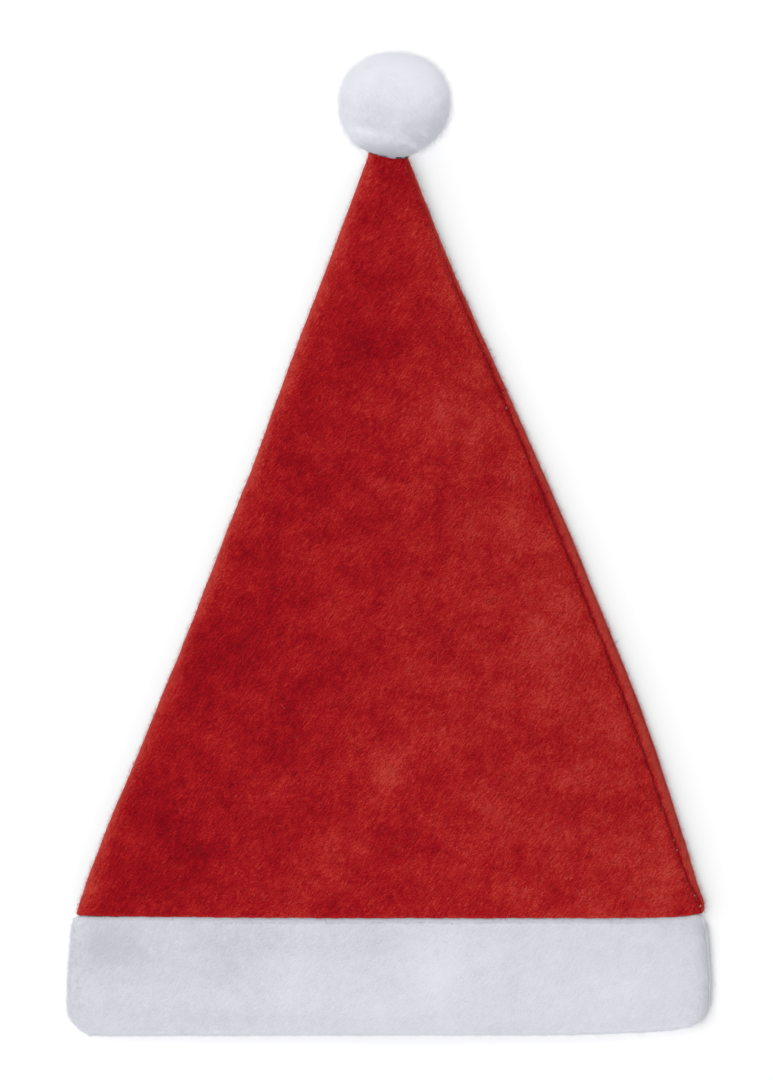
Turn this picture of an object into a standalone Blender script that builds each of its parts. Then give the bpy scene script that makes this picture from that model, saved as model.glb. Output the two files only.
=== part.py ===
"""A felt santa hat that lies flat, as it comes from the packet.

Metres, +Z up. The hat lies on z = 0 with its back panel down. +Y runs from the rim to the
pompom and +X to the side with the seam. The origin is under the middle of the whole hat.

Pieces, each a closed solid of its own:
  crown   the red cone: one felt piece, folded on the left, sewn and turned on the right
  band    the white strip round the head opening, folded double at the rim
  pompom  the white ball on the peak

Both felt pieces are lofted through sections across Y. A section starts under the seam side,
runs along the floor to the fold, up the fold, over the front panel and down the seam side.
"along" is always the distance from the rim.
"""

import math

import bmesh
import bpy
import numpy as np
from mathutils import Vector

# Flat sizes of the hat, as it is cut and sewn
BAND_WIDTH = 0.2902
BAND_DEPTH = 0.054
HEM_WIDTH = 0.2824
CROWN_LENGTH = 0.3404
PEAK_WIDTH = 0.0182
PEAK_SHIFT = -0.0018
SEAM_BOW = 0.0068
FOLD_BOW = -0.0012

# Heights over the floor
BELLY_HEIGHT = 0.021
RIM_HEIGHT = 0.0175
FOLD_HEIGHT = 0.0064
FOLD_RISE = 0.0058
PEAK_HEIGHT = 0.0084
PEAK_RISE = 0.0034
PEAK_LIFT = 0.0078
SWELL_HEIGHT = 0.0012

# Felt walls
FELT = 0.0016
BAND_WALL = 0.0024
CLEARANCE = 0.00034
LAP = 0.007
STEP_DOWN = 0.005

# Edges and the turned seam
FOLD_RUN = 0.007
PEAK_RUN = 0.0046
RIM_CORNER = 0.0106
HEM_CORNER = 0.0026
SEAM_INSET = 0.0054
SEAM_HALF = 0.0013
SEAM_DEPTH = 0.0009
ALLOWANCE = 0.004
DOME_POWER = 2.4

# Shares of the seam: its groove under the hem and at the peak, its ridge at the peak, and the
# most that half a groove takes of the strip beside it
LAP_GROOVE = 0.35
PEAK_GROOVE = 0.45
PEAK_RIDGE = 0.3
GROOVE_REACH = 0.45

# The pompom
POMPOM_WIDTH = 0.0508
POMPOM_LENGTH = 0.0493
POMPOM_HEIGHT = 0.0472
POMPOM_SHIFT = 0.0013
POMPOM_SQUARE = 2.2
LOCKS = 280
LOCK_DEPTH = 0.0019
LOCK_LEAN = 0.0012
LOCK_SPREAD = 0.35
LOCK_BEAT = 2.4
TUCK = 0.0075

# Colours of the felt and plush, linear red, green and blue, and how rough they are
RED = (0.352, 0.0116, 0.0137)
WHITE = (0.70, 0.71, 0.77)
PLUSH = (0.74, 0.745, 0.80)
FELT_ROUGHNESS = 0.95
PLUSH_ROUGHNESS = 1.0
SHARP_ANGLE = math.radians(50)

# How many faces the loft has
FLOOR_STEPS = 5
CORNER_STEPS = 4
BELLY_STEPS = 13
CURVE_STEPS = 160
PEAK_BUNCH = 0.3
CROWN_ROWS = 28
BAND_ROWS = 9
SOCKET_ROWS = 5

# Where the seam side bows out: share of the crown's length, share of SEAM_BOW
SEAM_SIDE = (
    (0.00, 0.00),
    (0.09, 0.44),
    (0.16, 0.72),
    (0.24, 0.94),
    (0.30, 1.00),
    (0.38, 0.96),
    (0.50, 0.86),
    (0.62, 0.66),
    (0.75, 0.34),
    (0.88, 0.05),
    (1.00, 0.00),
)

# How the front panel falls to the peak: share of the crown's length, share of the fall left
BELLY_LINE = (
    (0.00, 0.90),
    (0.12, 0.99),
    (0.26, 1.00),
    (0.45, 0.88),
    (0.62, 0.66),
    (0.78, 0.38),
    (0.90, 0.15),
    (1.00, 0.00),
)

# How the peak rises off the floor: share of the crown's length, share of PEAK_LIFT
LIFT_LINE = (
    (0.00, 0.00),
    (0.70, 0.00),
    (0.78, 0.08),
    (0.86, 0.30),
    (0.94, 0.70),
    (1.00, 1.00),
)

# How the band flares: share of the band's depth from the rim, share of the extra width
FLARE_LINE = (
    (0.00, 0.96),
    (0.30, 1.00),
    (0.50, 0.95),
    (0.64, 0.84),
    (0.80, 0.58),
    (0.92, 0.28),
    (1.00, 0.00),
)

# Height of the band: share of its depth from the rim, share of the rise from rim to hem
RISE_LINE = (
    (0.00, 0.00),
    (0.35, 0.55),
    (0.70, 0.90),
    (1.00, 1.00),
)

# How far the seam lies in from the edge: share of the crown's length, share of SEAM_INSET
INSET_LINE = (
    (0.00, 0.62),
    (0.05, 0.84),
    (0.16, 0.92),
    (0.30, 1.00),
    (0.50, 0.92),
    (0.66, 0.72),
    (0.78, 0.52),
    (0.90, 0.30),
    (1.00, 0.26),
)

# Extra rows of the band just below the hem, as shares of STEP_DOWN, and inside it, of LAP
STEP_ROWS = (0.70, 0.40, 0.15)
LAP_ROWS = (0.05, 0.50)

# Round lip of the band: how far it bulges, as a share of half its wall, at shares of the wall
LIP = (
    (0.30, 0.29),
    (1.00, 0.50),
    (0.30, 0.71),
)

# Closed end of the peak: distance before the end as a share of FELT, share drawn together
PEAK_CLOSING = (
    (0.25, 0.10),
    (0.00, 0.28),
)

# The groove of the seam across: share of SEAM_HALF, share of its depth, share of the ridge
GROOVE = (
    (-1.00, 0.00, 0.00),
    (-0.45, 0.62, 0.35),
    (0.00, 1.00, 1.00),
    (0.45, 0.62, 0.35),
    (1.00, 0.00, 0.00),
)

# Soft swells and hollows of the front panel: place across as a share of the half width and
# along as a share of the crown's length, reach both ways likewise, share of SWELL_HEIGHT
SWELLS = (
    (-0.07, 0.20, 0.34, 0.11, 1.00),
    (0.66, 0.38, 0.30, 0.12, 0.70),
    (-0.66, 0.38, 0.30, 0.12, -1.00),
    (-0.70, 0.11, 0.28, 0.08, -0.80),
    (-0.13, 0.59, 0.40, 0.09, -0.80),
    (0.36, 0.12, 0.26, 0.07, 0.50),
    (-0.30, 0.77, 0.50, 0.07, -0.45),
)

# Places worked out from the sizes above
OVERALL_LENGTH = BAND_DEPTH + CROWN_LENGTH + POMPOM_LENGTH
PEAK_END = BAND_DEPTH + CROWN_LENGTH + TUCK
POMPOM_MIDDLE = BAND_DEPTH + CROWN_LENGTH + POMPOM_LENGTH / 2
UNDER_HEM = FELT + CLEARANCE


def clear_scene():
    """Removes whatever the scene starts with."""
    for thing in list(bpy.data.objects):
        bpy.data.objects.remove(thing, do_unlink=True)


def mix(low, high, share):
    return low + (high - low) * share


def held(share):
    return min(max(share, 0.0), 1.0)


def smooth_step(share):
    share = held(share)
    return share * share * (3 - 2 * share)


def line_slope(places, values, i):
    """Slope of the curve at row i, flat where the values turn, so that it never overshoots."""
    steps = []
    for left in (i - 1, i):
        if 0 <= left < len(places) - 1:
            rise = values[left + 1] - values[left]
            steps.append(rise / (places[left + 1] - places[left]))
    if len(steps) == 1:
        return steps[0]
    if steps[0] * steps[1] <= 0:
        return 0.0
    return 2 * steps[0] * steps[1] / (steps[0] + steps[1])


def read_line(line, share):
    """Reads a table of (share, value) rows with a smooth curve through its rows."""
    places = [row[0] for row in line]
    values = [row[1] for row in line]
    if share <= places[0]:
        return values[0]
    if share >= places[-1]:
        return values[-1]
    right = next(i for i, place in enumerate(places) if place >= share)
    left = right - 1
    slopes = [line_slope(places, values, i) for i in (left, right)]
    span = places[right] - places[left]
    t = (share - places[left]) / span
    start = (1 + 2 * t) * (1 - t) ** 2 * values[left] + t * (1 - t) ** 2 * span * slopes[0]
    end = t * t * (3 - 2 * t) * values[right] + t * t * (t - 1) * span * slopes[1]
    return start + end


def crown_share(along):
    return (along - BAND_DEPTH) / CROWN_LENGTH


def half_widths(along):
    """Distances from x = 0 to the fold and to the seam side."""
    if along < BAND_DEPTH:
        flare = read_line(FLARE_LINE, along / BAND_DEPTH)
        half = mix(HEM_WIDTH, BAND_WIDTH, flare) / 2
        return half, half
    share = crown_share(along)
    fold = mix(HEM_WIDTH / 2, PEAK_WIDTH / 2 - PEAK_SHIFT, share)
    seam = mix(HEM_WIDTH / 2, PEAK_WIDTH / 2 + PEAK_SHIFT, share)
    fold += FOLD_BOW * math.sin(math.pi * held(share))
    seam += SEAM_BOW * read_line(SEAM_SIDE, share)
    return fold, seam


def floor_height(along):
    return PEAK_LIFT * read_line(LIFT_LINE, crown_share(along))


def section_height(along):
    """Height of the front panel's ridge over the section's own lowest line."""
    hem = mix(PEAK_HEIGHT, BELLY_HEIGHT, BELLY_LINE[0][1])
    if along < BAND_DEPTH:
        return mix(RIM_HEIGHT, hem, read_line(RISE_LINE, along / BAND_DEPTH))
    return mix(PEAK_HEIGHT, BELLY_HEIGHT, read_line(BELLY_LINE, crown_share(along)))


def swell(across, share):
    """Soft relief of the front panel, dying out at its edges."""
    height = 0.0
    for place, row, wide, long, amount in SWELLS:
        away = ((across - place) / wide) ** 2 + ((share - row) / long) ** 2
        height += amount * math.exp(-away)
    return SWELL_HEIGHT * height * (1 - across ** 4)


def front_curve(along, fold, seam):
    """The front panel across, as many close points: a round edge, a low dome, a round edge."""
    share = held(crown_share(along))
    low = floor_height(along)
    widest = low + mix(FOLD_HEIGHT, PEAK_HEIGHT / 2, share)
    rise = low + section_height(along) - widest
    edge = mix(FOLD_RISE, PEAK_RISE, share)
    run = mix(FOLD_RUN, PEAK_RUN, share)
    curve = []
    for i in range(CURVE_STEPS + 1):
        across = -math.cos(math.pi * i / CURVE_STEPS)
        half = seam if across > 0 else fold
        beyond = 1 - min(half * (1 - abs(across)) / run, 1.0)
        z = widest + edge * math.sqrt(1 - beyond * beyond)
        z += (rise - edge) * (1 - abs(across) ** DOME_POWER)
        z += swell(across, crown_share(along))
        curve.append((across * half, z))
    return np.array(curve)


def front_places(curve, seam_x, bunched):
    """Distances along the front curve where the section has its points.

    They bunch up towards the belly's two sides, less so where the hat is narrow.
    """
    steps = np.hypot(*np.diff(curve, axis=0).T)
    length = np.concatenate(([0.0], np.cumsum(steps)))
    seam_at = float(np.interp(seam_x, curve[:, 0], length))
    strip = length[-1] - seam_at
    reach = min(SEAM_HALF, GROOVE_REACH * strip)
    belly = seam_at + GROOVE[0][0] * reach
    places = []
    for i in range(BELLY_STEPS):
        even = i / BELLY_STEPS
        places.append(belly * mix(even, (1 - math.cos(math.pi * even)) / 2, bunched))
    places += [seam_at + row[0] * reach for row in GROOVE]
    places += [seam_at + mix(reach, strip, 0.5)]
    return places, length


def corner(x_in, x_out, z_low, z_high, upward):
    """Quarter of an ellipse between the floor line and the widest point of an edge."""
    points = []
    for i in range(CORNER_STEPS):
        turn = math.pi / 2 * i / CORNER_STEPS
        if not upward:
            turn = math.pi / 2 - turn
        x = mix(x_in, x_out, math.sin(turn))
        z = mix(z_high, z_low, math.cos(turn))
        points.append((x, z))
    return points


def outline(along):
    """The section's outside without its seam, as (x, z) points."""
    fold, seam = half_widths(along)
    share = held(crown_share(along))
    low = floor_height(along)
    run = mix(FOLD_RUN, PEAK_RUN, share)
    curve = front_curve(along, fold, seam)
    inset = SEAM_INSET * read_line(INSET_LINE, share)
    places, length = front_places(curve, seam - inset, mix(1.0, PEAK_BUNCH, share))
    widest = curve[0, 1]
    points = []
    for i in range(FLOOR_STEPS):
        points.append((mix(seam - run, run - fold, i / FLOOR_STEPS), low))
    points += corner(run - fold, -fold, low, widest, True)
    for place in places:
        x = float(np.interp(place, length, curve[:, 0]))
        z = float(np.interp(place, length, curve[:, 1]))
        points.append((x, z))
    points += corner(seam - run, seam, low, widest, False)
    return points


def inward(points):
    """For each point of a section, the unit direction into the hat."""
    count = len(points)
    corners = [Vector(point) for point in points]
    ways = []
    for i, here in enumerate(corners):
        into = (here - corners[i - 1]).normalized()
        out = (corners[(i + 1) % count] - here).normalized()
        onward = into + out
        ways.append(Vector((onward.y, -onward.x)).normalized())
    return ways


def groove_column(column):
    """One column of the GROOVE table, spread over all the points of a section."""
    start = FLOOR_STEPS + CORNER_STEPS + BELLY_STEPS
    rest = 1 + CORNER_STEPS
    return [0.0] * start + [row[column] for row in GROOVE] + [0.0] * rest


def corner_back(x, half, radius):
    """How far a rounded corner of the flat outline draws the edge back at x."""
    past = min(max(abs(x) - (half - radius), 0.0), radius)
    return radius - math.sqrt(radius * radius - past * past)


def ring(along, inset=0.0, groove=0.0, ridge=0.0, edge=0.0, radius=0.0):
    """One section, moved inwards by inset, with the seam's groove and inner ridge.

    Where a radius is given, the edge at "edge" has round corners, which fade out along the hat.
    """
    points = outline(along)
    ways = inward(points)
    depth = groove_column(1)
    fin = groove_column(2)
    fold, seam = half_widths(along)
    loop = []
    for i, (x, z) in enumerate(points):
        move = inset + groove * depth[i] + ridge * fin[i]
        y = along
        if radius > 0:
            back = corner_back(x, seam if x > 0 else fold, radius)
            fade = max(1 - (along - edge) / (2 * radius), 0.0)
            y += back * fade
        loop.append(Vector((x + ways[i].x * move, y - OVERALL_LENGTH / 2, z + ways[i].y * move)))
    return loop


def drawn_in(loop, share):
    """A section drawn together towards its middle, for the closed end of the peak."""
    middle = sum(loop, Vector()) / len(loop)
    return [point.lerp(middle, share) for point in loop]


def placed(name, shape):
    """Makes a finished shape an object of the scene, its faces pointing outwards."""
    bmesh.ops.recalc_face_normals(shape, faces=shape.faces)
    mesh = bpy.data.meshes.new(name)
    shape.to_mesh(mesh)
    shape.free()
    thing = bpy.data.objects.new(name, mesh)
    bpy.context.scene.collection.objects.link(thing)
    return thing


def loft(name, rings, close_ends):
    """Joins sections, each to the next, into one closed skin."""
    shape = bmesh.new()
    loops = [[shape.verts.new(point) for point in points] for points in rings]
    pairs = list(zip(loops, loops[1:]))
    if not close_ends:
        pairs.append((loops[-1], loops[0]))
    for one, other in pairs:
        count = len(one)
        for i in range(count):
            j = (i + 1) % count
            shape.faces.new((one[i], one[j], other[j], other[i]))
    if close_ends:
        shape.faces.new(loops[0])
        shape.faces.new(loops[-1])
    return placed(name, shape)


def finish(thing, colour, roughness):
    """Smooth shading and the piece's own plain material."""
    material = bpy.data.materials.new(thing.name + "_felt")
    material.use_nodes = True
    shader = material.node_tree.nodes["Principled BSDF"]
    shader.inputs["Base Color"].default_value = (*colour, 1.0)
    shader.inputs["Roughness"].default_value = roughness
    shader.inputs["Metallic"].default_value = 0.0
    material.diffuse_color = (*colour, 1.0)
    thing.data.materials.append(material)
    thing.data.shade_smooth()
    thing.data.set_sharp_from_angle(angle=SHARP_ANGLE)


def seam_depth(along):
    """Depth of the seam's groove, which thins out towards the peak."""
    return SEAM_DEPTH * mix(1.0, PEAK_GROOVE, held(crown_share(along)))


def under_hem(along):
    """1 where the band lies inside the crown, 0 where it has stepped out below the hem."""
    return smooth_step((along - BAND_DEPTH + STEP_DOWN) / STEP_DOWN)


def make_crown():
    """The red cone: outer skin, hem, inner skin, both skins closed at the peak."""
    hem = BAND_DEPTH
    roll = FELT / 2
    rows = [hem + roll, hem + 3 * roll, hem + LAP / 2, hem + LAP]
    first = hem + 2 * LAP
    last = BAND_DEPTH + CROWN_LENGTH
    rows += [mix(first, last, i / (CROWN_ROWS - 1)) for i in range(CROWN_ROWS)]
    corners = {"edge": hem, "radius": HEM_CORNER}

    outer = [ring(row, groove=seam_depth(row), **corners) for row in rows]
    outer.append(ring(PEAK_END - FELT, groove=seam_depth(PEAK_END)))
    for before, share in PEAK_CLOSING:
        outer.append(drawn_in(ring(PEAK_END - FELT * before), share))

    inner = []
    for row in rows:
        starts = smooth_step((row - hem - LAP) / LAP)
        ends = mix(1.0, PEAK_RIDGE, smooth_step(crown_share(row)))
        depth = seam_depth(row) * mix(LAP_GROOVE, 1.0, starts)
        inner.append(ring(row, FELT, depth, ALLOWANCE * starts * ends, **corners))
    inner.append(ring(PEAK_END - 2 * FELT, FELT))

    lip = [ring(hem, inset=roll, groove=seam_depth(hem), **corners)]
    crown = loft("crown", inner[::-1] + lip + outer, True)
    finish(crown, RED, FELT_ROUGHNESS)


def band_outside(along, extra=0.0):
    """A section of the band's outer skin, or of its lip, extra further in.

    It slips under the crown's hem, and steps out to its full size just below it.
    """
    under = under_hem(along)
    depth = seam_depth(along) * mix(1.0, LAP_GROOVE, under)
    return ring(along, UNDER_HEM * under + extra, depth, radius=RIM_CORNER)


def band_inside(along):
    """A section of the band's inner skin, which passes the seam without a groove."""
    return ring(along, UNDER_HEM * under_hem(along) + BAND_WALL, radius=RIM_CORNER)


def make_band():
    """The white strip: a tube with a round rim and a thin end inside the crown."""
    half = BAND_WALL / 2
    inside = BAND_DEPTH + LAP
    rows = [half]
    rows += [mix(2 * half, BAND_DEPTH - STEP_DOWN, i / (BAND_ROWS - 1)) for i in range(BAND_ROWS)]
    rows += [BAND_DEPTH - STEP_DOWN * share for share in STEP_ROWS]
    rows += [BAND_DEPTH + LAP * share for share in LAP_ROWS]
    rows.append(inside - half)
    outer = [band_outside(row) for row in rows]
    inner = [band_inside(row) for row in rows]
    top = [band_outside(inside - half * (1 - out), BAND_WALL * deep) for out, deep in LIP]
    rim = [band_outside(half * (1 - out), BAND_WALL * deep) for out, deep in LIP]
    band = loft("band", outer + top + inner[::-1] + rim[::-1], False)
    finish(band, WHITE, FELT_ROUGHNESS)


def ball_radius(way):
    """Distance from the pompom's middle to its surface: a slightly squared ball."""
    total = abs(way.x / (POMPOM_WIDTH / 2)) ** POMPOM_SQUARE
    total += abs(way.y / (POMPOM_LENGTH / 2)) ** POMPOM_SQUARE
    total += abs(way.z / (POMPOM_HEIGHT / 2)) ** POMPOM_SQUARE
    return total ** (-1 / POMPOM_SQUARE)


def lock_roots():
    """Directions of the pompom's locks, evenly wound round the ball from its far end."""
    golden = math.pi * (3 - math.sqrt(5))
    ways = []
    for i in range(LOCKS):
        up = 1 - 2 * i / (LOCKS - 1)
        flat = math.sqrt(max(1 - up * up, 0.0))
        ways.append(Vector((flat * math.sin(golden * i), up, flat * math.cos(golden * i))))
    return ways


def lock_tip(way, number):
    """The end of one lock: it leans round the ball and is a little longer or shorter."""
    sideways = way.cross(Vector((0, 1, 0)))
    leaning = (way * ball_radius(way) + sideways * LOCK_LEAN).normalized()
    shorter = LOCK_DEPTH * LOCK_SPREAD * (1 - math.cos(LOCK_BEAT * number)) / 2
    return leaning * (ball_radius(leaning) - shorter)


def make_pompom():
    """The ball of short locks, each a blunt cone between the valleys round it."""
    shape = bmesh.new()
    for way in lock_roots():
        shape.verts.new(way * ball_radius(way))
    bmesh.ops.convex_hull(shape, input=shape.verts)
    count = len(shape.verts)
    bmesh.ops.subdivide_edges(shape, edges=shape.edges, cuts=1, use_grid_fill=True)
    shape.verts.ensure_lookup_table()
    for number, vert in enumerate(shape.verts):
        way = vert.co.normalized()
        if number < count:
            vert.co = lock_tip(way, number)
        else:
            vert.co = way * (ball_radius(way) - LOCK_DEPTH)
    lowest = min(vert.co.z for vert in shape.verts)
    middle = Vector((POMPOM_SHIFT, POMPOM_MIDDLE - OVERALL_LENGTH / 2, -lowest))
    bmesh.ops.translate(shape, verts=shape.verts, vec=middle)
    pompom = placed("pompom", shape)
    finish(pompom, PLUSH, PLUSH_ROUGHNESS)
    return pompom


def make_socket():
    """The room in the pompom for the peak, a clearance wider all round."""
    start = BAND_DEPTH + CROWN_LENGTH - 2 * TUCK
    last = SOCKET_ROWS - 1
    rows = [mix(start, PEAK_END + CLEARANCE, i / last) for i in range(SOCKET_ROWS)]
    socket = loft("socket", [ring(row, inset=-CLEARANCE) for row in rows], True)
    socket.hide_render = True
    socket.display_type = "WIRE"
    return socket


def cut(thing, tool):
    """Cuts a tool's shape out of a piece."""
    modifier = thing.modifiers.new("cut_" + tool.name, "BOOLEAN")
    modifier.operation = "DIFFERENCE"
    modifier.solver = "EXACT"
    modifier.object = tool


def make_hat():
    clear_scene()
    make_crown()
    make_band()
    cut(make_pompom(), make_socket())


make_hat()
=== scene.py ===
"""The looks of the flat santa hat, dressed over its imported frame.

Metres, +Z up. +Y runs from the rim to the pompom, +X to the side with the seam, and the hat
lies on z = 0. The crown and the band are rolled out of one closed skin each, in rows across Y
whose columns start at the side seam and run over the front, round the fold and back
underneath. The pompom is a ball of soft tufts. Loose fibres, locks and the sewing thread are
pieces of their own.
"""

import math
from collections import namedtuple

import bpy
import numpy as np
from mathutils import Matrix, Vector


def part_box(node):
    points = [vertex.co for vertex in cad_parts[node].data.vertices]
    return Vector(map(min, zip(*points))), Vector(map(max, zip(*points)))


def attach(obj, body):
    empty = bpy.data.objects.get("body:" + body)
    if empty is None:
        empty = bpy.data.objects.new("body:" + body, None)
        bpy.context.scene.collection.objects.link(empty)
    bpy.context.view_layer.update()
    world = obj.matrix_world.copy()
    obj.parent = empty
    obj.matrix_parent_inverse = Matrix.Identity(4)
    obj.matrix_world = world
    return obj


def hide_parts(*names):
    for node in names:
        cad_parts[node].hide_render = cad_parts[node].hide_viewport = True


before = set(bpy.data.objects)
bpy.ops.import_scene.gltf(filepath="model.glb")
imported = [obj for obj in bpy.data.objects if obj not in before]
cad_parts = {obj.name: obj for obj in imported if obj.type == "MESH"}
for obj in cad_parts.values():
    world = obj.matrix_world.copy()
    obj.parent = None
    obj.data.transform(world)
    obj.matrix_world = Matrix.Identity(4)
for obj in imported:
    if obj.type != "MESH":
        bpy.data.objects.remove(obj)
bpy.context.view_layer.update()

# Walls and edges of the hat
FELT = 0.0016
BAND_WALL = 0.0024
CLEARANCE = 0.00034
LAP = 0.0066
STEP_DOWN = 0.0014
FOLD_RUN = 0.007
PEAK_RUN = 0.0046
FOLD_RISE = 0.0058
PEAK_RISE = 0.0034
DOME_POWER = 2.4
RIM_CORNER = 0.0106
HEM_CORNER = 0.0010
SIDE_STEP = 0.0008
RIM_STAGGER = 0.0013
RIM_STAGGER_REACH = 0.02
ABOVE_FLOOR = 0.00002

# Powers of the way out to the hat's sides: swells and the step below the hem change with the
# first, and what moves the sides alone comes in with the second
SIDE_POWER = 6
EDGE_POWER = 8

# The side seam: its groove, the slope and the wall beside it, and the puffed strip
SEAM_GROOVE = 0.0013
SEAM_SLOPE = 0.0011
SEAM_WALL = 0.0005
SEAM_PUFF = 0.0006
SEAM_TOP = 0.152
SEAM_FADE = 0.07
BAND_GROOVE = 0.0006
VALLEY_SLOPE = 0.35
PUFF_MIDDLE = 0.55
PUFF_REACH = 0.36

# How much of the groove, its slope and the puff comes and goes with the stitches
STITCH_PITCH = 0.0038
GROOVE_BEAT = 0.3
SLOPE_BEAT = 0.4
PUFF_BEAT = 0.25

# Shares of the groove's depth at the peak and at the hem, and how far up it is shallower
PEAK_GROOVE = 0.6
HEM_GROOVE = 0.5
HEM_GROOVE_RUN = 0.050

# How far the seam wanders from a straight line, how near to it the felt follows, in what lumps
SEAM_WANDER = 0.00022
WANDER_REACH = 0.003
WANDER_LUMP = 0.009

# The seam allowance inside: depth, reach beside the seam, where it starts, where it leans
ALLOWANCE = 0.0034
ALLOWANCE_REACH = 0.0011
ALLOWANCE_PEAK = 0.3
ALLOWANCE_START = 0.002
ALLOWANCE_RUN = 0.008
ALLOWANCE_WAY = (-0.7, 0.0, -0.6)

# The hem: how little it swells, and over what length, its waves, and their reach along Y
HEM_CALM = 0.35
HEM_CALM_RUN = 0.004
HEM_WAVE = 0.00010
HEM_RIPPLE = 0.00007
HEM_WAVE_REACH = 0.006
HEM_LINE_REACH = 0.016

# Puckers of the band below the hem, and small tucks in a row beside its fold
PUCKER = 0.00016
PUCKER_REACH = 0.007
TUCK_IN = 0.0027
TUCK_REACH = 0.0007
TUCK_PITCH = 0.0021
TUCK_HEIGHT = 0.00022

# Lumps of the felt: size and height
FELT_LUMPS = (
    (0.030, 0.00032),
    (0.0105, 0.00013),
    (0.0042, 0.00006),
)

# How fine the skins are
COLUMNS = 300
CROWN_ROWS = 236
CROWN_INNER_ROWS = 28
BAND_ROWS = 52
BAND_INNER_ROWS = 16
LIP_ROWS = 6
PEAK_ROWS = 5
ROW_CROWDING = 0.18
RING_THICK = 0.25

# How far the side seam lies in from the edge: share of the crown's or band's length, metres
CROWN_SEAM = (
    (0.00, 0.0015),
    (0.014, 0.0020),
    (0.03, 0.0029),
    (0.07, 0.0041),
    (0.15, 0.0054),
    (0.25, 0.0058),
    (0.34, 0.0053),
    (0.50, 0.0048),
    (0.60, 0.0038),
    (0.67, 0.0030),
    (0.78, 0.0020),
    (0.90, 0.0013),
    (1.00, 0.0012),
)
BAND_SEAM = (
    (0.00, 0.0008),
    (0.38, 0.0009),
    (0.63, 0.0010),
    (1.00, 0.0013),
)

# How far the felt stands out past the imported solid's plain sides: y, metres
FOLD_EASE = (
    (-0.190, 0.0000),
    (-0.175, 0.0003),
    (-0.167, 0.0001),
    (-0.160, 0.0012),
    (-0.148, 0.0019),
    (-0.129, 0.0025),
    (-0.102, 0.0017),
    (-0.075, 0.0012),
    (-0.048, 0.0004),
    (0.006, 0.0003),
    (0.033, -0.0005),
    (0.060, 0.0002),
    (0.110, 0.0003),
    (0.160, 0.0000),
)
SEAM_EASE = (
    (-0.190, 0.0000),
    (-0.167, -0.0005),
    (-0.158, 0.0004),
    (-0.129, 0.0006),
    (-0.075, 0.0010),
    (-0.021, 0.0008),
    (0.033, 0.0006),
    (0.087, 0.0002),
    (0.114, -0.0002),
    (0.168, 0.0002),
)

# How far the crown's hem lies off a straight line: x, metres
HEM_LINE = (
    (-0.1410, -0.0004),
    (-0.1393, 0.0000),
    (-0.1375, -0.0001),
    (-0.1310, -0.0002),
    (-0.1090, -0.0004),
    (-0.0410, -0.0009),
    (0.1120, -0.0010),
    (0.1270, -0.0007),
    (0.1320, -0.0002),
    (0.1380, 0.0007),
    (0.1400, 0.0009),
)

# How far the crown's seam side bulges just above the hem, before it turns in: y, metres
HEM_BULGE = (
    (-0.1690, -0.0006),
    (-0.1672, -0.0002),
    (-0.1655, 0.0005),
    (-0.1630, 0.0009),
    (-0.1600, 0.0006),
    (-0.1550, 0.0000),
)

# The same at the fold
FOLD_BULGE = (
    (-0.1690, 0.0010),
    (-0.1658, 0.0009),
    (-0.1645, 0.0005),
    (-0.1586, 0.0003),
    (-0.1519, 0.0004),
    (-0.1450, 0.0002),
    (-0.1380, 0.0000),
)

# How far the band's sides stand out past the crown's: y, metres, at the fold and at the seam
BAND_FOLD_EASE = (
    (-0.2218, 0.0005),
    (-0.2060, 0.0009),
    (-0.1965, 0.0006),
    (-0.1870, 0.0004),
    (-0.1790, 0.0005),
    (-0.1744, 0.0009),
    (-0.1726, 0.0013),
    (-0.1708, 0.0018),
    (-0.1690, 0.0022),
    (-0.1678, 0.0014),
    (-0.1668, 0.0000),
)
BAND_SEAM_EASE = (
    (-0.2218, -0.0018),
    (-0.2135, -0.0017),
    (-0.2060, -0.0014),
    (-0.2014, -0.0012),
    (-0.1870, -0.0010),
    (-0.1744, 0.0000),
    (-0.1700, 0.0003),
    (-0.1686, 0.0003),
    (-0.1674, 0.0000),
)

# How far the rim lies off a straight line: x, metres
RIM_REACH = 0.034
RIM_LINE = (
    (-0.1450, 0.0010),
    (-0.1430, 0.0010),
    (-0.1406, 0.0004),
    (-0.1388, -0.0001),
    (-0.1372, -0.0004),
    (-0.1335, -0.0008),
    (-0.1280, -0.0006),
    (-0.1200, -0.0006),
    (-0.1040, -0.0005),
    (-0.0400, -0.0004),
    (0.0720, -0.0003),
    (0.0938, 0.0002),
    (0.1118, 0.0009),
    (0.1208, 0.0014),
    (0.1275, 0.0022),
    (0.1343, 0.0033),
    (0.1388, 0.0040),
    (0.1440, 0.0044),
)

# Soft swells and hollows of the front: x and y of the middle, reach both ways, height, metres
SWELLS = (
    (-0.012, -0.100, 0.060, 0.038, 0.0011),
    (0.070, -0.040, 0.030, 0.040, 0.0008),
    (-0.075, -0.040, 0.030, 0.040, -0.0010),
    (-0.095, -0.130, 0.030, 0.026, -0.0009),
    (0.055, -0.130, 0.034, 0.026, 0.0007),
    (-0.010, 0.030, 0.028, 0.030, -0.0008),
    (-0.014, 0.095, 0.018, 0.024, -0.0005),
    (-0.128, -0.183, 0.012, 0.012, 0.0006),
    (-0.108, -0.190, 0.020, 0.012, -0.0011),
    (-0.050, -0.205, 0.030, 0.010, 0.0006),
    (0.020, -0.196, 0.030, 0.014, -0.0005),
    (0.085, -0.200, 0.026, 0.016, 0.0006),
)

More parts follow.
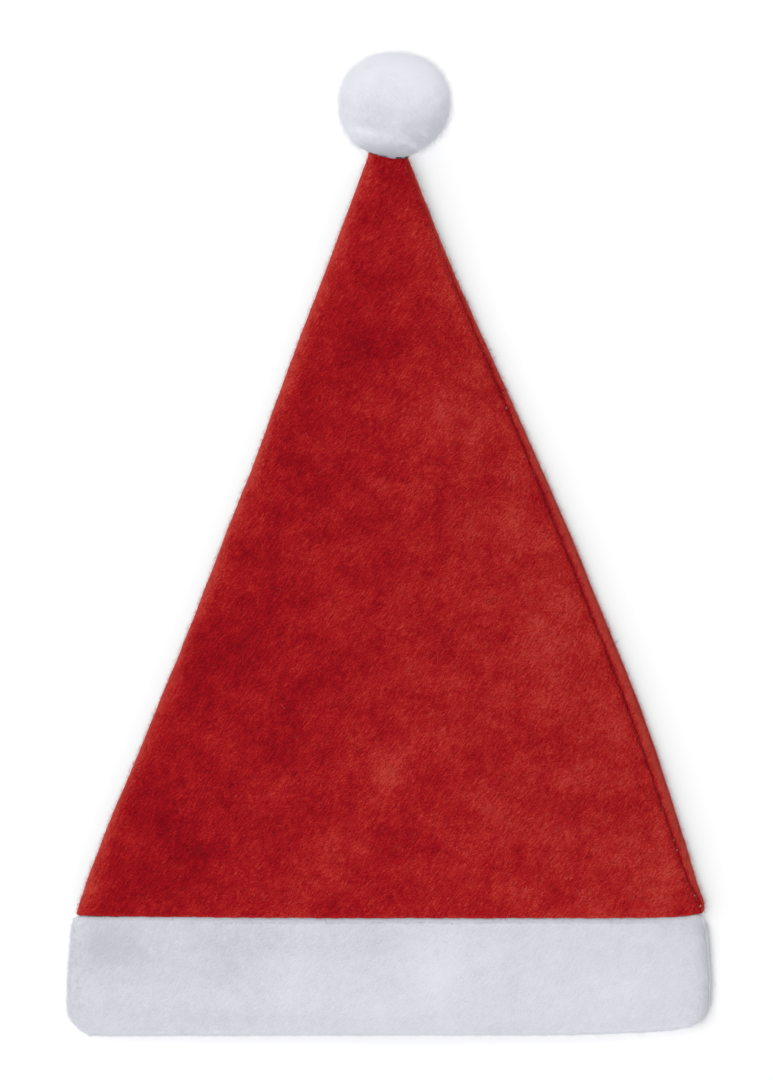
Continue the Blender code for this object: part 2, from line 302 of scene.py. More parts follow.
# Where the red felt lies lighter or darker: x and y of the middle, reach both ways, tone
RED_TONES = (
    (-0.0075, -0.100, 0.017, 0.013, 0.95),
    (0.017, -0.071, 0.022, 0.020, 0.40),
    (0.069, -0.044, 0.018, 0.014, 0.75),
    (0.062, -0.003, 0.020, 0.016, 0.40),
    (0.049, -0.129, 0.018, 0.012, 0.55),
    (0.116, -0.152, 0.020, 0.014, 0.55),
    (0.017, 0.057, 0.020, 0.015, 0.55),
    (0.098, -0.075, 0.008, 0.008, 0.50),
    (-0.041, -0.152, 0.030, 0.010, 0.50),
    # Painted shade at the peak, under the pompom, which casts no shadow
    (-0.001, 0.163, 0.012, 0.013, -1.00),
    (-0.016, 0.089, 0.013, 0.013, -0.70),
    (0.004, 0.091, 0.020, 0.024, -0.45),
    (-0.046, 0.028, 0.020, 0.014, -0.50),
    (-0.005, 0.032, 0.014, 0.011, -0.40),
    (-0.068, -0.044, 0.020, 0.020, -0.60),
    (-0.109, -0.120, 0.020, 0.013, -0.75),
    (-0.092, -0.138, 0.022, 0.014, -0.60),
    (-0.001, -0.161, 0.012, 0.010, -0.55),
    (-0.041, -0.080, 0.024, 0.024, -0.35),
    (-0.089, -0.048, 0.006, 0.012, -0.50),
)
WHITE_TONES = (
    # Painted shade in a dent turned away from the light
    (-0.127, -0.182, 0.019, 0.011, -1.40),
    # Painted highlight along the fold's edge
    (-0.143, -0.172, 0.006, 0.010, 0.90),
    (-0.068, -0.179, 0.026, 0.010, -0.75),
    (-0.082, -0.192, 0.022, 0.010, -0.50),
    (-0.044, -0.198, 0.008, 0.016, 0.60),
    (-0.011, -0.180, 0.016, 0.010, -0.60),
    (0.021, -0.195, 0.011, 0.015, 1.00),
    (-0.006, -0.209, 0.018, 0.007, 0.50),
    (0.053, -0.193, 0.006, 0.018, -0.35),
    (0.101, -0.200, 0.018, 0.013, 0.50),
    (0.128, -0.176, 0.012, 0.006, -0.35),
    (-0.060, -0.213, 0.060, 0.004, -0.35),
    (0.136, -0.182, 0.006, 0.016, -0.30),
)
RED_SLOPE = 0.72
WHITE_SLOPE = 0.35

# Painted light and shade on the pompom, lighter at its far side and darker at its near side
# and lower right: x and y from its middle, reach both ways, tone
PLUSH_PAINTED_SHADING = (
    (0.000, 0.026, 0.028, 0.018, 1.90),
    (-0.009, -0.005, 0.011, 0.009, -0.70),
    (0.004, -0.020, 0.028, 0.013, -1.10),
    (0.017, -0.013, 0.010, 0.010, -0.70),
    (0.014, 0.006, 0.009, 0.005, 0.40),
    (-0.014, -0.016, 0.008, 0.004, 0.25),
    (-0.013, -0.019, 0.012, 0.008, -0.50),
    (-0.023, 0.000, 0.007, 0.014, -0.50),
    (0.016, 0.014, 0.010, 0.010, 0.50),
    (0.023, -0.004, 0.007, 0.014, -0.50),
    (-0.010, -0.004, 0.018, 0.008, -0.35),
)

# Locks of the pompom: x and y from its middle, half length and width, turn, tone; the tone
# also paints a highlight on each lock and shade in the dips between them
PLUSH_LOCKS = (
    (-0.0120, -0.0138, 0.0080, 0.0016, -0.25, 0.60),
    (-0.0120, -0.0092, 0.0080, 0.0030, -0.10, -0.35),
    (0.0060, -0.0015, 0.0060, 0.0028, 0.35, 0.45),
    (0.0180, 0.0003, 0.0045, 0.0010, 0.60, 0.65),
    (0.0200, -0.0060, 0.0050, 0.0026, 1.00, -0.25),
    (0.0080, -0.0100, 0.0070, 0.0020, 0.30, -0.35),
    (0.0082, -0.0196, 0.0036, 0.0017, -0.45, 1.00),
    (0.0132, -0.0145, 0.0026, 0.0008, -0.80, 0.60),
    (0.0080, -0.0148, 0.0040, 0.0010, -0.30, -0.55),
    (-0.0129, 0.0108, 0.0050, 0.0012, -0.10, 0.30),
    (0.0030, 0.0055, 0.0070, 0.0016, 0.10, -0.25),
)
LOCK_RISE = 0.0004

# Camera and lights
CAMERA_HEIGHT = 5.408
CAMERA_X = -0.0023
CAMERA_Y = 0.0011
CAMERA_LENS = 400.0
SENSOR = 36.0
FAR_CLIP = 20.0
FLOOR_SIZE = 8.0
PAPER_WHITE = 0.97
PAPER_GLOW = 0.165
WORLD_STRENGTH = 0.312


def mix(low, high, share):
    return low + (high - low) * share


def smooth_step(share):
    share = np.clip(share, 0.0, 1.0)
    return share * share * (3 - 2 * share)


def bell(away, reach):
    return np.exp(-(away / reach) ** 2)


def read_table(table, share):
    rows = np.array(table)
    return np.interp(share, rows[:, 0], rows[:, 1])


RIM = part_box("band")[0].y
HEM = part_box("crown")[0].y
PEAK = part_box("crown")[1].y
POMPOM_LOW, POMPOM_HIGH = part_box("pompom")


def solid_edges(node):
    """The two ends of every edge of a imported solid."""
    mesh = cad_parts[node].data
    points = np.array([vert.co for vert in mesh.vertices])
    pairs = np.array([edge.vertices[:] for edge in mesh.edges])
    return points[pairs[:, 0]], points[pairs[:, 1]]


def cut_across(ends, y):
    """x and z wherever a solid's edges pass the plane at y."""
    start, end = ends
    passing = (start[:, 1] - y) * (end[:, 1] - y) < 0
    start = start[passing]
    end = end[passing]
    share = (y - start[:, 1]) / (end[:, 1] - start[:, 1])
    points = start + (end - start) * share[:, None]
    return points[:, (0, 2)]


LINE_STEP = 0.001
LINE_BLUR = 9

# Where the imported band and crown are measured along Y, clear of their rounded ends
MEASURED = (
    ("band", RIM + RIM_CORNER * 1.1, HEM - STEP_DOWN * 1.2),
    ("crown", HEM + HEM_CORNER * 2.1, PEAK - 3 * FELT),
)

HatLines = namedtuple("HatLines", "fold_x fold_z seam_x seam_z floor ridge")


def blurred(values):
    padded = np.pad(values, LINE_BLUR // 2, mode="reflect", reflect_type="odd")
    return np.convolve(padded, np.ones(LINE_BLUR) / LINE_BLUR, mode="valid")


def hat_lines():
    """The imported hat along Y: fold and seam side, their heights, the floor and the ridge."""
    places = []
    found = []
    for node, first, last in MEASURED:
        ends = solid_edges(node)
        for y in np.arange(first, last, LINE_STEP):
            points = cut_across(ends, y)
            left = points[points[:, 0].argmin()]
            right = points[points[:, 0].argmax()]
            low = points[:, 1].min()
            high = points[:, 1].max()
            places.append(y)
            found.append((left[0], left[1], right[0], right[1], low, high))
    ys = np.arange(RIM, PEAK, LINE_STEP)
    found = np.array(found)
    lines = HatLines(*(blurred(np.interp(ys, places, line)) for line in found.T))
    lines.fold_x[:] -= blurred(read_table(FOLD_EASE, ys))
    lines.seam_x[:] += blurred(read_table(SEAM_EASE, ys))
    return ys, lines


LINES_AT, LINES = hat_lines()


def hat_at(y):
    """All the hat's lines at one place along it, or at many."""
    return HatLines(*(np.interp(y, LINES_AT, line) for line in LINES))


def fold_at(y):
    return np.interp(y, LINES_AT, LINES.fold_x)


def seam_side_at(y):
    return np.interp(y, LINES_AT, LINES.seam_x)


def crown_share(y):
    return np.clip((y - HEM) / (PEAK - HEM), 0.0, 1.0)


def seam_inset(y):
    if y < HEM:
        return read_table(BAND_SEAM, (y - RIM) / (HEM - RIM))
    return read_table(CROWN_SEAM, crown_share(y))


EDGE_POINTS = 24
FRONT_POINTS = 420
FLOOR_POINTS = 80
SAME_PLACE = 1e-7


def quarter(points):
    return np.linspace(0, math.pi / 2, points, endpoint=False)


def outline(y):
    """The hat's outside across y, from the seam over the front, round and back to it."""
    fold_x, fold_z, seam_x, seam_z, floor, ridge = hat_at(y)
    share = crown_share(y)
    run = mix(FOLD_RUN, PEAK_RUN, share)
    edge = mix(FOLD_RISE, PEAK_RISE, share)
    across = np.cos(np.linspace(0, math.pi, FRONT_POINTS))
    half = np.where(across > 0, seam_x, -fold_x)
    beyond = 1 - np.minimum(half * (1 - np.abs(across)) / run, 1.0)
    widest = np.where(across > 0, seam_z, fold_z)
    z = widest + edge * np.sqrt(1 - beyond ** 2)
    z += (ridge - widest - edge) * (1 - np.abs(across) ** DOME_POWER)
    front = np.column_stack((across * half, z))
    turn = quarter(EDGE_POINTS)
    fold = np.column_stack((
        mix(fold_x + run, fold_x, np.cos(turn)),
        mix(fold_z, floor, np.sin(turn)),
    ))
    under = np.column_stack((
        np.linspace(fold_x + run, seam_x - run, FLOOR_POINTS, endpoint=False),
        np.full(FLOOR_POINTS, floor),
    ))
    side = np.column_stack((
        mix(seam_x - run, seam_x, np.sin(turn)),
        mix(seam_z, floor, np.cos(turn)),
    ))
    start = int(np.argmin(np.abs(front[:, 0] - (seam_x - seam_inset(y)))))
    loop = np.vstack((front[start:], fold[1:], under, side, front[:start + 1]))
    keep = np.concatenate(([True], np.hypot(*np.diff(loop, axis=0).T) > SAME_PLACE))
    return loop[keep]


def run_of(loop):
    """The steps between a loop's points, and how far along it each point lies."""
    steps = np.hypot(*np.diff(loop, axis=0).T)
    return steps, np.concatenate(([0.0], np.cumsum(steps)))


def onward_ways(ring):
    """Directions along a closed ring of points."""
    onward = np.roll(ring, -1, axis=0) - np.roll(ring, 1, axis=0)
    return onward / np.hypot(*onward.T)[:, None]


# Points crowd at the seam, within this reach or this part of the way round, and are few below
SEAM_WEIGHT = 3.0
SEAM_REACH = 0.0026
SEAM_PART = 12
FLOOR_WEIGHT = 0.3
FLOOR_TOP = 0.2


def section(y):
    """COLUMNS points of the section at y, how far each lies from the seam, and inward ways."""
    loop = outline(y)
    steps, length = run_of(loop)
    middle = (length[1:] + length[:-1]) / 2
    heights = (loop[1:, 1] + loop[:-1, 1]) / 2
    hat = hat_at(y)
    weight = np.where(heights > mix(hat.floor, hat.fold_z, FLOOR_TOP), 1.0, FLOOR_WEIGHT)
    away = np.minimum(middle, length[-1] - middle)
    weight = weight + SEAM_WEIGHT * bell(away, min(SEAM_REACH, length[-1] / SEAM_PART))
    filled = np.concatenate(([0.0], np.cumsum(steps * weight)))
    wanted = np.linspace(0, filled[-1], COLUMNS, endpoint=False)
    at = np.interp(wanted, filled, length)
    x = np.interp(at, length, loop[:, 0])
    z = np.interp(at, length, loop[:, 1])
    points = np.column_stack((x, z))
    onward = onward_ways(points)
    inward = np.column_stack((-onward[:, 1], onward[:, 0]))
    signed = np.where(at < length[-1] / 2, at, at - length[-1])
    return points, signed, inward


def under_hem(x, y, half):
    """1 where the band lies inside the crown, 0 where it has stepped out below the hem."""
    step = mix(STEP_DOWN, SIDE_STEP, np.abs(x / half) ** SIDE_POWER)
    return smooth_step((y - HEM - read_table(HEM_LINE, x) + step) / step)


def corner_back(x, half, radius):
    past = np.clip(np.abs(x) - (half - radius), 0.0, radius)
    return radius - np.sqrt(radius * radius - past * past)


def row_of(y, inset, edge, radius, tuck=0.0):
    """One row of a skin as (COLUMNS, 3) points, its edge at "edge" with rounded corners."""
    points, signed, inward = section(y)
    half = np.where(points[:, 0] > 0, seam_side_at(y), -fold_at(y))
    inset = inset + tuck * under_hem(points[:, 0], y, half)
    x = points[:, 0] + inward[:, 0] * inset
    z = points[:, 1] + inward[:, 1] * inset
    fade = max(1 - (y - edge) / (2 * radius), 0.0)
    shifted = y + corner_back(points[:, 0], half, radius) * fade
    return np.column_stack((x, shifted, z)), signed


def half_round(rows, wall):
    """Steps round an edge of that wall: how far past the wall, how far in."""
    turn = np.linspace(0, math.pi, rows + 2)[1:-1]
    return [(wall / 2 * (1 - math.sin(t)), wall / 2 * (1 - math.cos(t))) for t in turn]


LATTICE = 48
LATTICE_START = 100


def clouds(points, size, seed):
    """Smooth noise from -1 to 1, in lumps of that size, at many points."""
    lattice = np.random.default_rng(seed).uniform(-1, 1, (LATTICE, LATTICE, LATTICE))
    at = points / size + LATTICE_START
    cell = np.floor(at).astype(int)
    share = at - cell
    share = share * share * (3 - 2 * share)
    total = np.zeros(len(points))
    for corner in np.ndindex(2, 2, 2):
        weight = np.prod(np.where(corner, share, 1 - share), axis=1)
        x, y, z = ((cell + corner) % LATTICE).T
        total += weight * lattice[x, y, z]
    return total


def deselect_all():
    for thing in bpy.context.selected_objects:
        thing.select_set(False)


def started(name):
    """The primitive that was just added, under its own name."""
    piece = bpy.context.object
    piece.name = name
    piece.data.name = name
    return piece


def get_points(piece):
    points = np.empty(len(piece.data.vertices) * 3)
    piece.data.vertices.foreach_get("co", points)
    return points.reshape(-1, 3)


def set_points(piece, points):
    piece.data.vertices.foreach_set("co", points.astype(np.float32).ravel())
    piece.data.update()


def columns_of(points, count):
    """Which of that many columns round Z each point lies in, going by its x and y."""
    share = np.arctan2(points[:, 1], points[:, 0]) / (2 * math.pi)
    return np.rint(share * count).astype(int) % count


def above_floor(points):
    points[..., 2] = np.maximum(points[..., 2], ABOVE_FLOOR)


def face_outwards(piece):
    deselect_all()
    piece.select_set(True)
    bpy.context.view_layer.objects.active = piece
    bpy.ops.object.mode_set(mode="EDIT")
    bpy.ops.mesh.select_all(action="SELECT")
    bpy.ops.mesh.normals_make_consistent(inside=False)
    bpy.ops.object.mode_set(mode="OBJECT")
    bpy.ops.object.shade_smooth()


def grid_ways(grid):
    """Outward directions of a grid of rows and columns, the columns closed."""
    across = np.roll(grid, -1, axis=1) - np.roll(grid, 1, axis=1)
    along = np.gradient(grid, axis=0)
    ways = np.cross(across, along)
    ways /= np.maximum(np.linalg.norm(ways, axis=2), 1e-12)[..., None]
    middle = grid.mean(axis=1, keepdims=True)
    if ((grid - middle) * ways).sum() < 0:
        ways = -ways
    return ways


def patches(x, y, table):
    """The sum of soft patches: x and y of the middle, reach both ways, amount."""
    total = np.zeros(x.shape)
    for place_x, place_y, wide, long, amount in table:
        away = ((x - place_x) / wide) ** 2 + ((y - place_y) / long) ** 2
        total += amount * np.exp(-away)
    return total


def tone_of(x, y, tones, slope):
    """How much lighter or darker the felt lies: a slope from fold to seam side, and patches."""
    half = (seam_side_at(y) - fold_at(y)) / 2
    return patches(x, y, tones) + slope * x / half


def seam_show(y):
    """1 where the side seam shows as a groove, 0 near the peak, where it lies in the edge."""
    return smooth_step((SEAM_TOP - y) / SEAM_FADE)


def stitch_beat(y):
    """From 0 between two stitches to 1 at a stitch."""
    return 0.5 - 0.5 * np.cos(2 * math.pi * y / STITCH_PITCH)


# The underside stays smooth: up to what share of the fold's height, and over what share more
SMOOTH_BELOW = 0.25
SMOOTH_FADE = 0.8


def relief(grid, signed, groove, seeds, rough=1.0):
    """How far the felt stands out at each point of an outer skin."""
    rows, columns = signed.shape
    x = grid[..., 0]
    y = grid[..., 1]
    z = grid[..., 2]
    flat = grid.reshape(-1, 3)
    lumps = np.zeros(len(flat))
    for (size, high), seed, share in zip(FELT_LUMPS, seeds, (1.0, rough, rough)):
        lumps += high * share * clouds(flat, size, seed)
    lumps = lumps.reshape(rows, columns)
    hat = hat_at(y)
    above = smooth_step((z - hat.floor - hat.fold_z * SMOOTH_BELOW) / (hat.fold_z * SMOOTH_FADE))
    half = np.where(x > 0, hat.seam_x, -hat.fold_x)
    inside = 1 - np.clip(np.abs(x) / half, 0, 1) ** SIDE_POWER
    height = above * (lumps + patches(x, y, SWELLS) * inside)
    beat = stitch_beat(y)
    slope = SEAM_SLOPE * (1 - SLOPE_BEAT / 2 + SLOPE_BEAT * beat)
    front = np.exp(-np.maximum(signed, 0) / slope)
    side = bell(np.minimum(signed, 0), SEAM_WALL)
    near = VALLEY_SLOPE * front + (1 - VALLEY_SLOPE) * bell(signed, SEAM_WALL)
    valley = np.where(signed > 0, near, side) * (1 - GROOVE_BEAT + GROOVE_BEAT * beat)
    strip = np.vectorize(seam_inset)(y[:, 0])[:, None]
    puff = bell(-signed - PUFF_MIDDLE * strip, PUFF_REACH * strip)
    puff *= 1 - PUFF_BEAT + PUFF_BEAT * beat
    return height + groove * (SEAM_PUFF / SEAM_GROOVE * puff - valley)


def puff_crown(skin, seams):
    """Shapes the crown's outer skin: the wandering seam, its groove, lumps and swells."""
    along = skin[..., 1].copy()
    share = crown_share(along)
    groove = SEAM_GROOVE * mix(1.0, PEAK_GROOVE, share) * seam_show(along)
    groove *= mix(HEM_GROOVE, 1.0, smooth_step((along - HEM - LAP) / HEM_GROOVE_RUN))
    wander = np.sin(math.pi * along / STITCH_PITCH + 2 * np.sin(along * 90))
    wander += 0.8 * clouds(skin.reshape(-1, 3) * (0, 1, 0), WANDER_LUMP, 4).reshape(along.shape)
    follow = bell(seams, WANDER_REACH) * mix(1.0, 0.5, share)
    skin[..., 0] += SEAM_WANDER * wander * follow
    calm = mix(HEM_CALM, 1.0, smooth_step((along - HEM - FELT / 2) / HEM_CALM_RUN))
    skin += grid_ways(skin) * (relief(skin, seams, groove, (1, 2, 3)) * calm)[..., None]


def turn_allowance_in(inner, seams):
    """Folds the seam allowance of the crown's inner skin away from the seam."""
    along = inner[..., 1]
    fin = ALLOWANCE * bell(seams, ALLOWANCE_REACH) * mix(1.0, ALLOWANCE_PEAK, crown_share(along))
    fin *= smooth_step((along - HEM - LAP - ALLOWANCE_START) / ALLOWANCE_RUN)
    inner += fin[..., None] * ALLOWANCE_WAY


def trim_hem(grid):
    """Cuts the crown's hem a little uneven, and lets its two ends bulge."""
    x = grid[..., 0].copy()
    wave = HEM_WAVE * np.sin(x * 190) * np.sin(x * 71 + 1.3) + HEM_RIPPLE * np.sin(x * 830 + 0.5)
    grid[..., 1] += bell(grid[..., 1] - HEM, HEM_WAVE_REACH) * wave
    grid[..., 1] += bell(grid[..., 1] - HEM, HEM_LINE_REACH) * read_table(HEM_LINE, x)
    y = grid[..., 1]
    side = np.clip(grid[..., 0] / seam_side_at(y), 0, 1) ** EDGE_POWER
    grid[..., 0] += side * read_table(HEM_BULGE, y)
    side = np.clip(grid[..., 0] / fold_at(y), 0, 1) ** EDGE_POWER
    grid[..., 0] -= side * read_table(FOLD_BULGE, y)


def make_crown():
    """The red cone, hollow, one felt wall all round, closed at the peak."""
    roll = FELT / 2
    last = PEAK - FELT
    shares = np.linspace(0, 1, CROWN_ROWS)
    outer = HEM + roll + (last - HEM - roll) * mix(shares, shares ** 2, ROW_CROWDING)
    rows = []
    for i in range(PEAK_ROWS):
        turn = math.pi / 2 * (i + 1) / (PEAK_ROWS + 1)
        rows.append((last + FELT * math.cos(turn), 0.0, 1 - math.sin(turn)))
    rows += [(y, 0.0, 0.0) for y in outer[::-1]]
    rows += [(HEM + out, deep, 0.0) for out, deep in half_round(LIP_ROWS, FELT)]
    inner = np.linspace(HEM + roll, last - FELT, CROWN_INNER_ROWS)
    rows += [(y, FELT, 0.0) for y in inner]
    rows.append((last - FELT / 2, FELT, 0.5))

    grid = []
    seams = []
    for y, inset, gather in rows:
        points, signed = row_of(y, inset, HEM, HEM_CORNER)
        middle = points.mean(axis=0)
        grid.append(mix(points, middle, gather))
        seams.append(signed)
    grid = np.array(grid)
    seams = np.array(seams)

    count = PEAK_ROWS + CROWN_ROWS
    puff_crown(grid[:count], seams[:count])
    turn_allowance_in(grid[count + LIP_ROWS:], seams[count + LIP_ROWS:])
    trim_hem(grid)
    above_floor(grid)

    deselect_all()
    bpy.ops.mesh.primitive_uv_sphere_add(segments=COLUMNS, ring_count=len(rows) + 1, radius=1)
    crown = started("crown_felt")
    start = get_points(crown)
    row = np.rint(np.arccos(np.clip(start[:, 2], -1, 1)) / math.pi * (len(rows) + 1)).astype(int)
    place = (np.clip(row - 1, 0, len(rows) - 1), columns_of(start, COLUMNS))
    points = grid[place]
    points[row == 0] = grid[0].mean(axis=0) + (0, FELT * 0.1, 0)
    points[row == len(rows) + 1] = grid[-1].mean(axis=0)
    set_points(crown, points)
    face_outwards(crown)
    note(crown, "outside", row <= count + LIP_ROWS // 2)
    note(crown, "tone", red_tone(points, seams[place]))
    return crown, grid[PEAK_ROWS:count, 0], grid[count + LIP_ROWS // 2]


# Lines of painted light and shade on the red felt: amount of tone and reach. The fold
# has a sharp, a soft and a narrow line of painted sheen where it turns to the light, and
# its light fades towards the hem. The seam's strip, the seam side's edge and the hem's lip
# get painted highlights, and the seam's groove painted shade
FOLD_SHEEN_SHARP = (2.3, 0.0024)
FOLD_SHEEN_SOFT = (0.80, 0.0086)
FOLD_SHEEN_NARROW = (0.5, 0.0055)
FOLD_SHEEN_FADE = (0.5, 0.009)
SEAM_STRIP_HIGHLIGHT = (3.1, 0.0022)
SEAM_STRIP_AT = 0.0034
SIDE_SHEEN = (0.9, 0.0010)
HEM_HIGHLIGHT = (1.5, 0.0006)
SEAM_GROOVE_SHADE = (2.0, 0.0006)
SEAM_SHADE = (0.6, 0.0026)

# The same on the white felt: painted light below the hem, along the rim and on the seam's
# strip, where shade falls there, and painted shade in the seam's groove
BAND_TOP_PAINTED_LIGHT = (0.3, 0.0020)
RIM_PAINTED_LIGHT = (1.0, 0.0012)
BAND_STRIP_PAINTED_LIGHT = (1.6, 0.0012)
BAND_STRIP_AT = 0.0016
BAND_GROOVE_SHADE = (0.3, 0.0006)


def line_tone(away, line):
    amount, reach = line
    return amount * bell(away, reach)


def sharp_tone(away, line):
    amount, reach = line
    return amount * np.exp(-away / reach)


def fold_painted_sheen(x, y):
    """Painted sheen: how much lighter the red felt is painted where it turns over the fold and catches
    the light.
    """
    away = np.maximum(x - fold_at(y), 0)
    bloom = sharp_tone(away, FOLD_SHEEN_SHARP) + line_tone(away, FOLD_SHEEN_SOFT)
    return bloom * (1 - line_tone(y - HEM, FOLD_SHEEN_FADE))


def red_tone(points, signed):
    """Tone of the red felt: patches, painted shade in the seam's valley and painted highlights along
    both sides, the hem and the seam's strip.
    """
    x, y, z = points.T
    tone = tone_of(x, y, RED_TONES, RED_SLOPE) + fold_painted_sheen(x, y)
    tone += line_tone(x - fold_at(y), FOLD_SHEEN_NARROW)
    # Painted highlight on the seam's strip, which rolls away from the light
    tone += line_tone(-signed - SEAM_STRIP_AT, SEAM_STRIP_HIGHLIGHT)
    # Painted sheen of the fuzz along the seam side's edge
    tone += sharp_tone(np.abs(seam_side_at(y) - x), SIDE_SHEEN)
    # Painted highlight along the hem's lip
    tone += line_tone(y - HEM - read_table(HEM_LINE, x), HEM_HIGHLIGHT)
    painted_shade = line_tone(signed, SEAM_GROOVE_SHADE) + line_tone(np.maximum(signed, 0), SEAM_SHADE)
    return tone - painted_shade * seam_show(y)


def white_tone(points, signed):
    """Tone of the white felt: patches, painted light below the hem, at the rim and on the seam's strip,
    and painted shade in the seam's groove.
    """
    x, y, z = points.T
    tone = tone_of(x, y, WHITE_TONES, WHITE_SLOPE)
    tone += line_tone(y - HEM, BAND_TOP_PAINTED_LIGHT)
    tone += line_tone(y - RIM - read_table(RIM_LINE, x), RIM_PAINTED_LIGHT)
    tone += line_tone(-signed - BAND_STRIP_AT, BAND_STRIP_PAINTED_LIGHT)
    return tone - line_tone(signed, BAND_GROOVE_SHADE)


def ease_sides(grid):
    """Moves the band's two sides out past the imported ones, or in."""
    x = grid[..., 0]
    y = grid[..., 1]
    half = np.where(x > 0, seam_side_at(y), -fold_at(y))
    side = np.where(x > 0, read_table(BAND_SEAM_EASE, y), -read_table(BAND_FOLD_EASE, y))
    grid[..., 0] += side * np.minimum(np.abs(x) / half, 1) ** EDGE_POWER


# The band's shape fades over this length at the rim and under the hem, where its lumps lose
# this share of their height
BAND_CALM_RUN = 0.003
BAND_CALM = 0.8


def puff_band(skin, seams):
    """Shapes the band's outer skin: lumps, puckers below the hem and tucks beside the fold."""
    x = skin[..., 0]
    y = skin[..., 1]
    under = smooth_step((y - HEM + BAND_CALM_RUN) / BAND_CALM_RUN)
    amount = relief(skin, seams, BAND_GROOVE, (5, 6, 7), 0.5) * (1 - BAND_CALM * under)
    pucker = np.sin(x * 620 + 2 * np.sin(x * 140)) * (0.6 + 0.4 * np.sin(x * 95))
    amount += PUCKER * bell(y - HEM, PUCKER_REACH) * pucker * (1 - under)
    tucks = bell(x - fold_at(y) - TUCK_IN, TUCK_REACH)
    amount += TUCK_HEIGHT * tucks * np.sin(2 * math.pi * y / TUCK_PITCH) * (1 - under)
    amount *= smooth_step((y - RIM) / BAND_CALM_RUN)
    skin += grid_ways(skin) * amount[..., None]


def trim_rim(grid):
    """Lays the front of the rim a little short of the back, and both along the rim's line."""
    hat = hat_at(RIM + 0.01)
    front = smooth_step((grid[..., 2] - hat.fold_z) / (hat.ridge - hat.fold_z) * 1.6)
    short = smooth_step(1 - (grid[..., 1] - RIM) / RIM_STAGGER_REACH)
    grid[..., 1] += RIM_STAGGER * front * short
    near_rim = smooth_step(1 - (grid[..., 1] - RIM) / RIM_REACH)
    grid[..., 1] += near_rim * read_table(RIM_LINE, grid[..., 0])


def make_band():
    """The white strip: a tube with a round rim, whose far end lies inside the crown."""
    wall = BAND_WALL
    half = wall / 2
    top = HEM + LAP
    rows = [(y, 0.0) for y in np.linspace(RIM + half, top - half, BAND_ROWS)]
    rows += [(top - out, deep) for out, deep in half_round(LIP_ROWS - 2, wall)]
    rows += [(y, wall) for y in np.linspace(top - half, RIM + half, BAND_INNER_ROWS)]
    rows += [(RIM + out, wall - deep) for out, deep in half_round(LIP_ROWS + 2, wall)]

    grid = []
    seams = []
    for y, inset in rows:
        points, signed = row_of(y, inset, RIM, RIM_CORNER, FELT + CLEARANCE)
        grid.append(points)
        seams.append(signed)
    grid = np.array(grid)
    seams = np.array(seams)
    ease_sides(grid)
    puff_band(grid[:BAND_ROWS], seams[:BAND_ROWS])
    trim_rim(grid)
    above_floor(grid)

    deselect_all()
    bpy.ops.mesh.primitive_torus_add(
        major_segments=COLUMNS, minor_segments=len(rows), major_radius=1,
        minor_radius=RING_THICK)
    band = started("band_felt")
    start = get_points(band)
    column = columns_of(start, COLUMNS)
    out = np.hypot(start[:, 0], start[:, 1]) - 1
    row = columns_of(np.column_stack((out, start[:, 2])), len(rows))
    set_points(band, grid[row, column])
    face_outwards(band)
    note(band, "outside", (row < BAND_ROWS) | (row > len(rows) - LIP_ROWS))
    note(band, "tone", white_tone(get_points(band), seams[row, column]))
    return band, grid[:BAND_ROWS, 0]


SOCKET_GAP = 0.0004
SOCKET_STEPS = 40


def open_socket(points):
    """Lifts the ball's near side along Y off the peak that it holds."""
    opened = points.copy()
    for y in np.linspace(POMPOM_LOW.y, PEAK + SOCKET_GAP, SOCKET_STEPS):
        hat = hat_at(min(y, PEAK))
        half = (hat.seam_x - hat.fold_x) / 2 + SOCKET_GAP
        rise = (hat.ridge - hat.floor) / 2 + SOCKET_GAP
        across = np.abs(points[:, 0] - (hat.fold_x + hat.seam_x) / 2) / half
        upright = np.abs(points[:, 2] - (hat.floor + hat.ridge) / 2) / rise
        held = (across < 1) & (upright < 1) & (opened[:, 1] < y)
        opened[held, 1] = y
    return opened


# The pompom's middle and half its width and length as seen from above, and how square it is
POMPOM_MIDDLE = (0.00137, 0.1970)
POMPOM_HALF = (0.0268, 0.0246)
POMPOM_POWER = 2.15

# How far its normals lean up, and how much more at the far side and less at the near one
POMPOM_LEAN = 0.45
LEAN_FAR = 2.4
LEAN_NEAR = 1.0

# Lumps of the ball: size and height, and of its locks: size, height where plain and where
# tufted, how long they lie, and the cosine and sine of the way they lie
BALL_LUMP = (0.013, 0.0004)
LOCK_LUMP = (0.0045, 0.00005, 0.00026)
LOCK_LENGTH = 0.3
LOCK_WAY = (0.6, 0.8)

# How much of that outline the solid ball fills below its fibres: degrees round from +X, share
POMPOM_CORE = (
    (0.0, 0.910),
    (180.0, 0.910),
    (207.0, 0.924),
    (227.0, 0.962),
    (242.0, 0.957),
    (259.0, 0.951),
    (268.0, 0.966),
    (274.0, 0.984),
    (285.0, 0.986),
    (292.0, 0.964),
    (300.0, 0.935),
    (320.0, 0.910),
    (360.0, 0.910),
)


